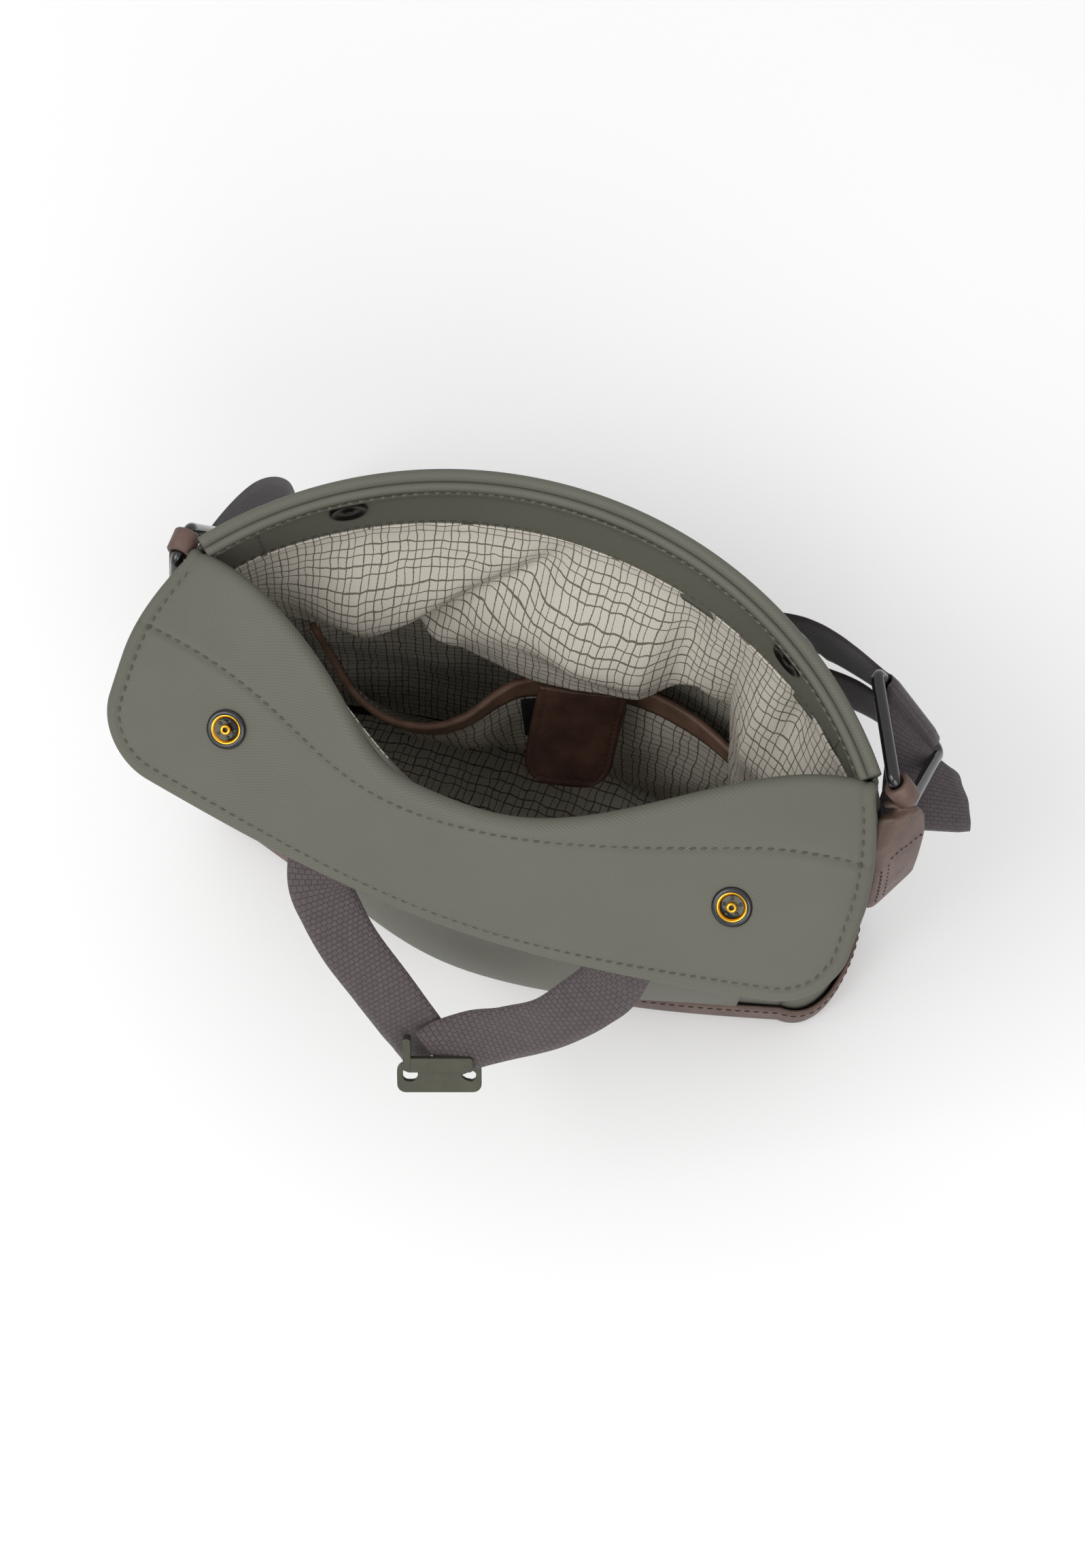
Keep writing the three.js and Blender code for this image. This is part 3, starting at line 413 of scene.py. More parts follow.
def tube(name, points, radius, material, sides=12, closed=False):
    """A round rod along points, turning as little as it can on the way."""
    points = np.asarray(points, float)
    tangents = np.gradient(points, axis=0)
    if closed:
        tangents = np.roll(points, -1, 0) - np.roll(points, 1, 0)
    tangents = unit(tangents)
    normal = np.cross(tangents[0], (0.3, 0.2, 1.0))
    vertices = []
    for point, tangent in zip(points, tangents):
        normal = unit(normal - tangent * normal.dot(tangent))
        other = np.cross(tangent, normal)
        for k in range(sides):
            t = 2 * PI * k / sides
            vertices.append((point + (normal * math.cos(t) + other * math.sin(t)) * radius) * MM)
    return finish_mesh(name, vertices, skin(len(points), sides, closed), material)


def catmull(points, steps):
    """Points spread evenly by length along a centripetal spline through the given ones."""
    p = np.asarray(points, float)
    p = np.vstack([2 * p[0] - p[1], p, 2 * p[-1] - p[-2]])
    out, where = [], []
    for i in range(1, len(p) - 2):
        p0, p1, p2, p3 = p[i - 1 : i + 3]
        t0, t1 = 0.0, np.linalg.norm(p1 - p0) ** 0.5
        t2 = t1 + max(np.linalg.norm(p2 - p1), 1e-6) ** 0.5
        t3 = t2 + max(np.linalg.norm(p3 - p2), 1e-6) ** 0.5
        for t in np.linspace(t1, t2, 24, endpoint=False):
            a1 = (t1 - t) / (t1 - t0) * p0 + (t - t0) / (t1 - t0) * p1
            a2 = (t2 - t) / (t2 - t1) * p1 + (t - t1) / (t2 - t1) * p2
            a3 = (t3 - t) / (t3 - t2) * p2 + (t - t2) / (t3 - t2) * p3
            b1 = (t2 - t) / (t2 - t0) * a1 + (t - t0) / (t2 - t0) * a2
            b2 = (t3 - t) / (t3 - t1) * a2 + (t - t1) / (t3 - t1) * a3
            out.append((t2 - t) / (t2 - t1) * b1 + (t - t1) / (t2 - t1) * b2)
            where.append(i - 1 + (t - t1) / (t2 - t1))
    out.append(p[-2])
    where.append(len(p) - 3.0)
    out, where = np.array(out), np.array(where)
    run = run_lengths(out)
    even = np.linspace(0, run[-1], steps + 1)
    return between(even, run, out), np.interp(even, run, where), run[-1]


def slab_profile(cross, rounding):
    """Across and up shares round a flat strip's section, thinning at its edges."""
    half = np.linspace(-1, 1, cross + 1)
    drop = rounding[0] * np.abs(half) ** rounding[1]
    return [*zip(half, 1 - drop), *zip(half[::-1], drop[::-1] - 1)]


def ribbon(name, stations, width, steps, material, shear=False):
    """Webbing through stations: a point with the way it faces there, or None and its width's direction.

    A sheared ribbon keeps that width's direction where its run isn't square to it, as over a slanted fold.
    """
    line, where, total = catmull([station[0] for station in stations], steps)
    tangent = unit(np.gradient(line, axis=0))
    widths = []
    for k, station in enumerate(stations):
        along = tangent[min(steps, int(np.searchsorted(where, k)))]
        wide = unit(np.cross(along, station[1]) if station[1] is not None else station[2])
        if widths and wide.dot(widths[-1]) < 0:
            wide = -wide
        widths.append(wide)
    widths = np.array(widths)
    k = np.minimum(where.astype(int), len(stations) - 2)
    share = smooth(where - k)[:, None]
    across = widths[k] * (1 - share) + widths[k + 1] * share
    if not shear:
        across -= tangent * (across * tangent).sum(1, keepdims=True)
    across = unit(across)
    up = unit(np.cross(across, tangent))
    profile = slab_profile(8, (0.8, 14))
    vertices, uvs = [], []
    for i in range(steps + 1):
        for a, b in profile:
            vertices.append((line[i] + across[i] * (a * width / 2) + up[i] * (b * STRAP_THICK / 2)) * MM)
            uvs.append(((a + 1) * width / 2, total * i / steps))
    return finish_mesh(name, vertices, skin(steps + 1, len(profile)), material, uvs)


def lathe(name, profile, at, material, sides=40):
    """A turned piece: profile of radius and height pairs, its axis along at['out']."""
    vertices = []
    for k in range(sides):
        t = 2 * PI * k / sides
        direction = at["along"] * math.cos(t) + at["up"] * math.sin(t)
        for r, h in profile:
            vertices.append((at["point"] + direction * r + at["out"] * h) * MM)
    return finish_mesh(name, vertices, skin(sides, len(profile), closed=True), material)


def stitches(name, points, outs, material, long=2.7, pitch=4.1, thick=0.42, sunk=0.1):
    """A row of sewn stitches along points on a surface with the given outward directions."""
    points, outs = np.asarray(points, float), np.asarray(outs, float)
    run = run_lengths(points)
    vertices, faces = [], []
    at = pitch / 2
    while at + long / 2 < run[-1]:
        ends = between((at - long / 2, at + long / 2), run, points)
        out = unit(between(at, run, outs))
        side = np.cross(out, unit(ends[1] - ends[0]))
        lean = 0.14 * long * (1 + 0.5 * rng.uniform(-1, 1))
        first = len(vertices)
        for share, size in ((0, 0.25), (0.14, 0.85), (0.5, 1.0), (0.86, 0.85), (1, 0.25)):
            middle = ends[0] * (1 - share) + ends[1] * share + side * lean * (share - 0.5)
            lift = thick * (0.55 * math.sin(PI * share)) - sunk
            for k in range(6):
                t = 2 * PI * k / 6
                round_it = side * math.cos(t) + out * (0.8 * math.sin(t))
                vertices.append((middle + round_it * (thick * size) + out * lift) * MM)
        faces += skin(5, 6, first=first)
        at += pitch * (1 + 0.04 * rng.uniform(-1, 1))
    return finish_mesh(name, vertices, faces, material)


def join(name, objects):
    """Joins meshes into one object, keeping each one's material."""
    picked = {"selected_objects": objects, "selected_editable_objects": objects}
    with bpy.context.temp_override(active_object=objects[0], **picked):
        bpy.ops.object.join()
    objects[0].name = name
    return objects[0]


def fixed(obj, slot, *nodes, body="bag"):
    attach(obj, body)
    if nodes:
        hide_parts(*nodes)
    return obj


def bending(obj, slot, start, end, *nodes, bodies=("bag", "flap")):
    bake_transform(obj)
    if nodes:
        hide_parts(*nodes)
    return obj


# The walls, as functions of arrays
def xyz(x, y, z):
    x, y, z = np.broadcast_arrays(x, y, z)
    return np.stack([x, y, z], -1).astype(float)


def back_rim_y(x):
    return -BACK_BULGE / 2 * (1 + np.cos(PI * x / MOUTH_HALF))


def back_rim_z(x):
    return CORNER_Z - (CORNER_Z - CREST_Z) * (1 + np.cos(PI * x / MOUTH_HALF)) / 2


def front_rim(angle):
    y = FRONT_RADIUS * np.cos(angle) - (FRONT_RADIUS - FRONT_BULGE)
    return xyz(FRONT_RADIUS * np.sin(angle), y, FRONT_Z + (CORNER_Z - FRONT_Z) * (angle / CORNER_ANGLE) ** 2)


def wall(base, rim, bulge, t):
    """From the base straight up past the tray, then leaning to the rim with a bulge on the way."""
    lean = np.clip((t - TRAY_SHARE) / (1 - TRAY_SHARE), 0, None)
    x = base[..., 0] + (rim[..., 0] - base[..., 0]) * lean
    y = base[..., 1] + (rim[..., 1] - base[..., 1]) * lean
    z = base[..., 2] + (rim[..., 2] - base[..., 2]) * t
    return xyz(x, y, z) + bulge * np.sin(PI * np.clip(lean, 0, 1))[..., None]


def front_wall(s, t):
    base = xyz(BASE_HALF * s, BASE_CORNER_Y + BASE_FRONT * np.cos(PI * s / 2), 0 * s)
    return wall(base, front_rim(s * PANEL_ANGLE), np.array([0, 6.0, 0]), t)


def back_wall(s, t):
    x = (MOUTH_HALF - 1.2) * s
    base = xyz(BASE_HALF * s, -BASE_CORNER_Y - BASE_BACK * np.cos(PI * s / 2), 0 * s)
    return wall(base, xyz(x, back_rim_y(x), back_rim_z(x)), np.array([0, -5.0, 0]), t)


def end_wall(side, s, t):
    angle = -PI / 2 + PI * s
    nose = BASE_NOSE * np.clip(np.cos(angle), 0, 1) ** 0.7
    base = xyz(BASE_HALF + nose, BASE_CORNER_Y * np.sin(angle), 0 * s)
    rim = front_rim((CORNER_ANGLE - 0.004) * (1 - s) + PANEL_ANGLE * s)
    bulge = np.stack([GUSSET_BULGE * np.sin(PI * s), 0 * s, 0 * s], -1)
    point = wall(base, rim, bulge, t)
    point[..., 0] *= side
    return point


def ripple(p, scale, amount, seed):
    """Soft irregular waves for cloth, from a few sines."""
    r = np.random.RandomState(seed)
    total = 0
    for _ in range(6):
        k = r.normal(size=3) / scale
        total = total + np.sin(p @ k + r.uniform(0, 6.28)) / 6**0.5
    return total * amount


# Outer walls
FOOT, HEAD = 3.4 / CORNER_Z, 0.99  # the outer cloth's ends, as shares of the height


def front_outer(u, v):
    t = FOOT + v * (HEAD - FOOT)
    p = front_wall(1 - 2 * u, t)
    p[..., 1] += ripple(p, 26, 0.8, 3) * np.sin(PI * v)
    return p


outer_front = cloth("outer_front", front_outer, 90, 60, CANVAS, 0.2, SKIN)
fixed(outer_front, "canvas", "front_panel")


def back_belly(s, t):
    """How far the soft back wall bellies out below the flap."""
    share = np.clip((t - TRAY_SHARE) / (0.58 - TRAY_SHARE), 0, 1)
    return 12 * np.sin(PI * share) * (1 - np.clip(np.abs(s), 0, 1) ** 7)


def back_outer(u, v):
    s = 0.996 * (2 * u - 1)
    top = 0.985 - 0.016 * np.cos(PI * s / 2)
    t = FOOT + v * (top - FOOT)
    p = back_wall(s, t)
    p[..., 1] += ripple(p, 24, 1.0, 5) * np.sin(PI * v) - back_belly(s, t)
    return p


outer_back = cloth("outer_back", back_outer, 90, 60, CANVAS, 0.2, SKIN)
fixed(outer_back, "canvas", "back_panel")

for side, hand in ((1, "right"), (-1, "left")):

    def gusset(u, v, side=side):
        s = 0.005 + 0.985 * (u if side > 0 else 1 - u)
        p = end_wall(side, s, FOOT + v * (HEAD - FOOT))
        if side > 0:
            fold = 2.5 * bell(s, 0.5, 0.12)
        else:
            fold = 9.5 * np.exp(-(((s - 0.5) / 0.42) ** 4))
        p[..., 0] += side * (ripple(p, 16, 0.9, 8) - fold) * np.sin(PI * v) ** 0.5
        return p

    fixed(cloth(f"outer_{hand}", gusset, 30, 60, CANVAS, 0.2, SKIN), "canvas", f"gusset_{hand}")

# The front rim: a rolled edge with a sewn ridge inside it, and the facing band below.
ANGLES = np.linspace(-CORNER_ANGLE + 0.012, CORNER_ANGLE - 0.012, 121)


RIM_OUT = xyz(np.sin(ANGLES), np.cos(ANGLES), 0 * ANGLES)


def rim_line(inward, rise):
    return front_rim(ANGLES) - RIM_OUT * inward + np.array([0, 0, rise])


def rim_profile(name, inward, rise, wide, tall, sides=16):
    vertices, uvs = [], []
    for i, (point, out) in enumerate(zip(rim_line(inward, rise), RIM_OUT)):
        for k in range(sides):
            turn = 2 * PI * k / sides
            around = out * wide * math.cos(turn) + np.array([0, 0, tall * math.sin(turn)])
            vertices.append((point + around) * MM)
            uvs.append((i * 2.6, k * 0.9))
    return finish_mesh(name, vertices, skin(len(ANGLES), sides, flip=True), CANVAS, uvs)


rim = [rim_profile("rim_outer", -0.6, 0.6, 2.6, 3.0), rim_profile("rim_ridge", 3.4, -0.3, 1.9, 2.0)]
fixed(join("rim_rolled", rim), "canvas", "rim_roll")
upward = np.tile([0, -0.35, 1.0], (len(ANGLES), 1))
fixed(stitches("rim_stitches", rim_line(5.6, -2.0), upward, THREAD, thick=0.34), "canvas")


def loop_point(w, z_drop, inset):
    """A point on the mouth's inside, w from -1 at the left corner to 1 at the right, below the front rim."""
    angle = w * (CORNER_ANGLE - 0.01)
    rim_point = front_rim(angle)
    s = np.clip(angle / PANEL_ANGLE, -1, 1)
    t = 1 - z_drop / CORNER_Z
    below = front_wall(s, t) - front_rim(s * PANEL_ANGLE)
    out = xyz(np.sin(angle), np.cos(angle), 0 * angle)
    return rim_point + below - out * np.asarray(inset)[..., None]


def facing(u, v):
    w = 1 - 2 * u
    drop = 2.0 + (FACING + 1.5) * (1 - v)
    p = loop_point(w, drop, 1.6 + 3.2 * smooth((v - 0.72) / 0.28) + 4.0 * (1 - v))
    p[..., 1] += ripple(p, 18, 0.35, 21)
    return p


facing_piece = cloth("facing_band", facing, 140, 14, CANVAS, -1.1, 0.0)
fixed(facing_piece, "canvas", "front_facing", "facing_right", "facing_left")


def on_facing(w, drop):
    """Points and inward directions on the facing band."""
    p = loop_point(w, drop, 2.9 + 4.0 * (drop - 2.0) / (FACING + 1.5))
    angle = w * CORNER_ANGLE
    return p, -xyz(np.sin(angle), np.cos(angle), -0.3 + 0 * angle)


paths = [(np.linspace(-0.97, 0.97, 160), np.full(160, FACING - 2.2))]
paths += [(np.full(20, w), np.linspace(6, FACING - 1, 20)) for w in (-0.865, 0.865)]
rows = [stitches("row", *on_facing(w, drop), THREAD, thick=0.34) for w, drop in paths]
fixed(join("facing_stitches", rows), "canvas")


# The lining: one shell round the mouth's far side, with the folds the cloth has fallen into
# Each pair is a place along the mouth and the height, or the reach, of the cloth's sag there.
SAG_LOW = [(-1, 148), (-0.8, 142), (-0.5, 150), (-0.24, 131), (-0.08, 127), (0.1, 134), (0.25, 146), (0.4, 160)]
SAG_LOW += [(0.5, 150), (0.57, 96), (1, 96)]
SAG_REACH = [(-1, 4), (-0.8, 15), (-0.6, 26), (-0.45, 29), (-0.3, 27), (-0.15, 31), (0.05, 33), (0.25, 30)]
SAG_REACH += [(0.42, 17), (0.5, 12), (0.6, 26), (0.75, 24), (0.9, 12), (1, 2)]


def bump(w, z, w0, z0, dw, dz):
    return bell(w, w0, dw) * bell(z, z0, dz)


def lining(u, v):
    w = 1 - 2 * u
    drop = (FACING - 1.0) + (1 - v) * (CORNER_Z - FACING - 12)
    z = CORNER_Z - drop
    p = loop_point(w, drop, 2.6 + 3.6 * smooth((z - 150) / 50))
    low, reach = np.interp(w, *zip(*SAG_LOW)), np.interp(w, *zip(*SAG_REACH))
    sag = reach * smooth((z - low + 9) / 19) * (1 - smooth((z - 163) / 46))
    valley = z - (151 + (w + 0.5) * 95)
    sag = sag - 11 * bell(valley, 0, 9.0) * smooth((w + 0.6) / 0.12) * smooth((0.0 - w) / 0.15)
    sag = sag + 6 * bump(w, z, -0.62, 178, 0.12, 14) + 7 * bump(w, z, 0.06, 172, 0.16, 13)
    sag = sag - 7 * bump(w, z, 0.33, 176, 0.06, 22) + 6 * bump(w, z, 0.86, 180, 0.07, 20)
    sag = sag - 6 * bump(w, z, 0.72, 192, 0.05, 12)
    fade = np.sin(PI * np.clip(v, 0, 1) ** 0.8) ** 0.5
    sag = sag + (ripple(p, 17, 1.7, 31) + ripple(p, 7, 0.5, 33)) * fade
    sag = np.maximum(sag, -1.5)
    p[..., 1] -= sag
    p[..., 0] -= 0.28 * sag * w
    p[..., 2] -= 0.12 * sag
    return p


lining_piece = cloth("lining_shell", lining, 260, 150, LINING, -0.5, 0.5, size=(330, 210))
fixed(lining_piece, "lining", "lining_front", "lining_right", "lining_left")


def lining_back_surface(u, v):
    s = 0.94 * (2 * u - 1)
    t = 0.04 + v * (FACING_LOW + 0.05 - 0.04)
    p = back_wall(s, t)
    p[..., 1] += 3 + 5 * np.sin(PI * v) + ripple(p, 16, 1.4, 41) * np.sin(PI * v)
    return p


lining_back = cloth("lining_near", lining_back_surface, 120, 80, LINING, -0.5, 0.5)
fixed(lining_back, "lining", "lining_back")


def floor_surface(u, v):
    x = (BASE_HALF + 12) * (2 * u - 1)
    edge = np.clip(1 - (np.abs(x) - BASE_HALF + 8).clip(0) / 22, 0.3, 1)
    s = np.clip(x / BASE_HALF, -1, 1)
    front = (BASE_CORNER_Y + BASE_FRONT * np.cos(PI * s / 2) - 5) * edge
    back = (-BASE_CORNER_Y - BASE_BACK * np.cos(PI * s / 2) + 5) * edge
    y = back + (front - back) * v
    p = xyz(x, y, 8.0 + 0 * x)
    p[..., 2] += ripple(p, 22, 1.6, 51) + 1.6
    return p


bottom = cloth("lining_floor", floor_surface, 100, 50, LINING, -0.5, 0.5)
fixed(bottom, "lining", "lining_bottom", "base_board")


# The base tray
def outline(count=240):
    """The base's outline, anticlockwise, with its outward directions."""
    share = np.linspace(0, 1, count // 4, endpoint=False)
    s, a = 2 * share - 1, PI * (share - 0.5)
    back = np.stack([BASE_HALF * s, -BASE_CORNER_Y - BASE_BACK * np.cos(PI * s / 2)], 1)
    right = np.stack([BASE_HALF + BASE_NOSE * np.cos(a).clip(0) ** 0.7, BASE_CORNER_Y * np.sin(a)], 1)
    front = np.stack([-BASE_HALF * s, BASE_CORNER_Y + BASE_FRONT * np.cos(PI * s / 2)], 1)
    line = np.vstack([back, right, front, -right])
    along = unit(np.roll(line, -2, 0) - np.roll(line, 2, 0))
    return line, np.stack([along[:, 1], -along[:, 0]], 1)


LINE, OUTWARD = outline()
TRAY_PROFILE = [(3.2, 21.0), (3.5, 21.9), (4.4, 22.0), (5.0, 21.2), (5.2, 15), (5.1, 7), (4.4, 3.0), (2.6, 0.8)]
TRAY_PROFILE += [(0.0, 0.0), (-14.0, 0.0), (-14.0, 2.2), (2.2, 2.6), (3.2, 6.0)]
vertices, uvs = [], []
for i, (point, out) in enumerate(zip(LINE, OUTWARD)):
    for k, (outset, z) in enumerate(TRAY_PROFILE):
        x, y = point + out * outset
        vertices.append((x * MM, y * MM, z * MM))
        uvs.append((i * 3.4, k * 4.0))
tray_faces = skin(len(LINE), len(TRAY_PROFILE), closed=True, flip=True)
tray = finish_mesh("leather_tray", vertices, tray_faces, TAB_LEATHER, uvs)
sole_line = [(*(p - o * 13) * MM, 0.0001) for p, o in zip(LINE, OUTWARD)]
sole = finish_mesh("leather_sole", sole_line, [tuple(range(len(LINE)))], TAB_LEATHER, smooth=False)
fixed(join("base_tray", [tray, sole]), "leather", "leather_base")
closed_line = np.vstack([LINE, LINE[:1]])
closed_out = np.vstack([OUTWARD, OUTWARD[:1]])
seam = np.column_stack([closed_line + closed_out * 5.2, np.full(len(closed_line), 17.6)])
level_out = np.column_stack([closed_out, 0 * closed_out[:, 0]])
fixed(stitches("tray_stitches", seam, level_out, THREAD_BROWN), "leather")

# The inner pocket, its leather lip, and the tongue
LIP = [
    (-108, 28, 121), (-97, 18.5, 121), (-82, 6, 121), (-64, -0.5, 120), (-46, 2.5, 120), (-34, 11, 121),
    (-25, 25, 122), (-17, 34, 122), (8, 44, 123), (30, 47, 123), (54, 43.5, 123), (96, 24, 122),
]
LIP_STEPS = 200
LIP_LINE, _, _ = catmull(LIP, LIP_STEPS)


def pocket(u, v):
    at = np.clip(u, 0, 1) * LIP_STEPS
    top = between(at, np.arange(LIP_STEPS + 1), LIP_LINE)
    foot = xyz(-96 + 186 * u, 32 + 8 * np.sin(PI * u), 26 + 0 * u)
    p = foot * (1 - v)[..., None] + top * v[..., None]
    p[..., 1] -= 10 * np.sin(PI * v) * np.sin(PI * u)
    x, z = p[..., 0], p[..., 2]
    pleats = 3 * np.sin(x / 6.5 + 0.05 * z) * bump(x, z, -4, 100, 22, 26)
    p[..., 1] += (ripple(p, 12, 1.4, 61) + pleats) * np.sin(PI * v)
    return p


panel = cloth("pocket_cloth", lambda u, v: pocket(u, 0.94 * v), 140, 50, LINING, 0.0, 1.0)
fixed(panel, "lining", "inner_pocket_panel")
lip = cloth("pocket_lip", lambda u, v: pocket(u, 0.9 + 0.1 * v), 140, 6, EDGE_LEATHER, -0.9, 1.9)
fixed(lip, "leather", "pocket_binding")
u = np.linspace(0.02, 0.98, 160)
seams = (("lip_stitches", 0.93, 1.0, THREAD_BROWN, "leather"), ("hem_stitches_a", 0.80, 0.2, THREAD, "lining"))
for name, v, lift, thread, slot in (*seams, ("hem_stitches_b", 0.74, 0.2, THREAD, "lining")):
    low, p, high = (pocket(u, np.full(160, at)) for at in (v - 0.01, v, v + 0.01))
    inner = normals(np.stack([low, p, high], 1))[:, 1]
    fixed(stitches(name, p - inner * lift, -inner, thread, thick=0.3, long=2.2, pitch=3.1), slot)

TONGUE_LONG, TONGUE_WIDE, TONGUE_CORNER = 47, 37, 12.0
TONGUE_TOP = np.array([10.5, 33.0, 137.0])
TONGUE_DOWN = unit((0.05, -0.62, -0.78))
TONGUE_SIDE = np.array([0.95, 0.31, -0.15])
TONGUE_SIDE = unit(TONGUE_SIDE - TONGUE_DOWN * TONGUE_SIDE.dot(TONGUE_DOWN))
TONGUE_OUT = np.cross(TONGUE_DOWN, TONGUE_SIDE)


def tongue(long, wide):
    def surface(u, v):
        reach = long * v
        past = np.maximum(0, reach - (long - TONGUE_CORNER))
        inset = TONGUE_CORNER - np.sqrt(np.maximum(0, TONGUE_CORNER**2 - past**2))
        x = (wide / 2 - inset * 0.98) * (1 - 2 * u)
        lift = -2.5 * np.sin(PI * v) + 0.5 * np.cos(x / 9)
        flat = TONGUE_TOP + reach[..., None] * TONGUE_DOWN + x[..., None] * TONGUE_SIDE
        return flat + lift[..., None] * TONGUE_OUT

    return surface


def tongue_top(u, v):
    edge = np.minimum(np.minimum(u, 1 - u) * TONGUE_WIDE, (1 - v) * TONGUE_LONG)
    groove = 0.35 * bell(edge, 3.2, 0.7)
    return 2.25 - 0.9 * (1 - np.clip(edge / 1.4, 0, 1)) ** 2 - groove


tongue_face = tongue(TONGUE_LONG, TONGUE_WIDE)
tongue_piece = cloth("tongue_leather", tongue_face, 50, 60, LEATHER, 0.0, top=tongue_top)
fixed(tongue_piece, "leather", "pocket_tongue", body="tongue")
path = [(0.09, v) for v in np.linspace(0.03, 0.80, 40)]
path += [(0.5 - 0.41 * math.cos(a), 0.80 + 0.135 * math.sin(a)) for a in np.linspace(0.05, PI - 0.05, 40)]
path += [(0.91, v) for v in np.linspace(0.80, 0.03, 40)]
pu, pv = np.array(path).T
p = tongue_face(pu, pv)
out = np.tile(TONGUE_OUT, (len(p), 1))
row = stitches("tongue_stitches", p + out * 2.0, out, THREAD_BROWN, long=1.8, pitch=2.5, thick=0.32)
fixed(row, "leather", body="tongue")
tape = tongue(TONGUE_LONG, 22)
loops = cloth("tongue_tape", lambda u, v: tape(u, 0.5 + 0.24 * v), 8, 8, HOOK, -1.3, -0.3)
fixed(loops, "hook_loop", "loop_patch", body="tongue")
patch = cloth("pocket_tape", lambda u, v: pocket(0.485 + 0.125 * u, 0.58 + 0.3 * v), 12, 12, HOOK, 1.2, 2.2)
fixed(patch, "hook_loop", "hook_patch")


# The flap
def crest_cloth(a):
    return 14 * (1 + np.cos(PI * a / FLAP_HALF))


def free_cloth(a):
    past = np.maximum(0, np.abs(a) - (FLAP_HALF - FLAP_RADIUS))
    return FLAP_CLOTH - (FLAP_RADIUS - np.sqrt(np.maximum(0, FLAP_RADIUS**2 - past**2)))


def flap_point(a, b):
    x0 = a * MOUTH_HALF / FLAP_HALF
    swell = np.cos(PI * a / (2 * FLAP_HALF))
    crest = xyz(x0, back_rim_y(x0) - 0.3, back_rim_z(x0) + 1.4)
    drop = FLAP_SIDE_DROP + (FLAP_MID_DROP - FLAP_SIDE_DROP) * swell
    free = xyz(a, -80 - 11 * swell, CORNER_Z + 1.4 - drop)
    share = (b - crest_cloth(a)) / (FLAP_CLOTH - crest_cloth(a))
    flare = x0 + (a - x0) * np.sin(PI / 2 * np.clip(share / 0.55, 0, 1))
    arch = 5 * np.sin(PI * np.clip(share, 0, 1))
    y = crest[..., 1] + (free[..., 1] - crest[..., 1]) * share - arch * 0.4
    z = crest[..., 2] + (free[..., 2] - crest[..., 2]) * share + arch * 0.9
    return xyz(flare, y, z)


ROLL = 3.2  # radius of the fold over the back rim
TUCK = 26.0  # how far the cloth runs on down inside the mouth


def fold_cloth(a):
    """Where the fold over the back rim starts, so that its inner side follows the rim."""
    return crest_cloth(a) + 4.8 + 6.5 * bell(a, -42, 24)


def seam_cloth(a):
    return SEAM_CLOTH + 8 * bell(a, -46, 40) - 3 * smooth((a - 60) / 60)


def flap_all(a, b):
    """The flap's cloth, and for b short of the crest the fold over the back rim and the facing inside it."""
    crest = fold_cloth(a)
    over = b >= crest
    body = flap_point(a, np.maximum(b, crest))
    at = flap_point(a, crest)
    ahead = flap_point(a, crest + 1.0) - at
    tangent = unit(np.stack([0 * a, ahead[..., 1], ahead[..., 2]], -1))
    inside = np.stack([0 * a, -tangent[..., 2], tangent[..., 1]], -1)
    back = crest - b
    end = np.arctan2(-tangent[..., 2], -tangent[..., 1]) + PI / 2
    turn = np.clip(back / ROLL, 0, end)
    centre = at + inside * ROLL
    roll = centre - ROLL * (inside * np.cos(turn)[..., None] + tangent * np.sin(turn)[..., None])
    straight = np.maximum(0, back - ROLL * end)
    roll[..., 2] -= straight
    roll[..., 1] += straight * 0.05
    return np.where(over[..., None], body, roll)


def edge_distance(a, b):
    px = np.abs(a) - (FLAP_HALF - FLAP_RADIUS)
    pb = b - (FLAP_CLOTH - FLAP_RADIUS)
    corner = FLAP_RADIUS - np.hypot(np.maximum(px, 0), np.maximum(pb, 0))
    straight = np.minimum(FLAP_HALF - np.abs(a), FLAP_CLOTH - b)
    return np.where((px > 0) & (pb > 0), corner, straight)


HEM = 5.0  # the row of stitches stands this far from the flap's edge


def flap_relief(a, b):
    """Height of the flap's upper face over its middle surface."""
    d = edge_distance(a, b)
    seam = b - seam_cloth(a)
    edge = np.clip(d / 1.7, 0, 1)
    h = 1.75 * np.sqrt(np.maximum(0, 1 - (1 - edge) ** 2))
    on_edge, on_seam = bell(d, HEM, 1.1), bell(seam, 0, 1.2) * (d > 1)
    h = h + 0.3 * bell(d, 2.6, 1.6) - 0.42 * on_edge - 0.4 * on_seam
    h = h + 0.3 * bell(seam, 3.0, 2.0) * (d > 3)
    return h + 0.10 * np.sin((a + b) * 2 * PI / 4.1) * (on_edge + on_seam)


def flap_ab(u, v):
    """Places on the flap's cloth, from the end of its tuck to its free edge."""
    a = (FLAP_HALF - 0.02) * np.sin(PI / 2 * (1 - 2 * u))
    low = fold_cloth(a) - TUCK
    return a, low + (free_cloth(a) - 0.02 - low) * v


def flap_waved(a, b):
    """The flap's middle surface with the soft waves of its free part."""
    p = flap_all(a, b)
    share = smooth((b - crest_cloth(a)) / 25) * smooth(edge_distance(a, b) / 14)
    p[..., 2] += (ripple(p, 30, 1.1, 71) + ripple(p, 13, 0.35, 72)) * share
    return p


FLAP_V = 1 - (1 - np.linspace(0, 1, 151)) ** 1.25
flap_piece = cloth(
    "flap_canvas", lambda u, v: flap_waved(*flap_ab(u, v)), 240, 150, CANVAS,
    low=lambda u, v: -flap_relief(*flap_ab(u, v)) * 0.9, top=lambda u, v: flap_relief(*flap_ab(u, v)),
    vs=FLAP_V, size=(292, 110),
)
FLAP_BLEND = ((0, -15, 231), (0, -50, 231))
bending(flap_piece, "canvas", *FLAP_BLEND, "back_yoke", "flap_facing", "flap_outer", "back_facing")


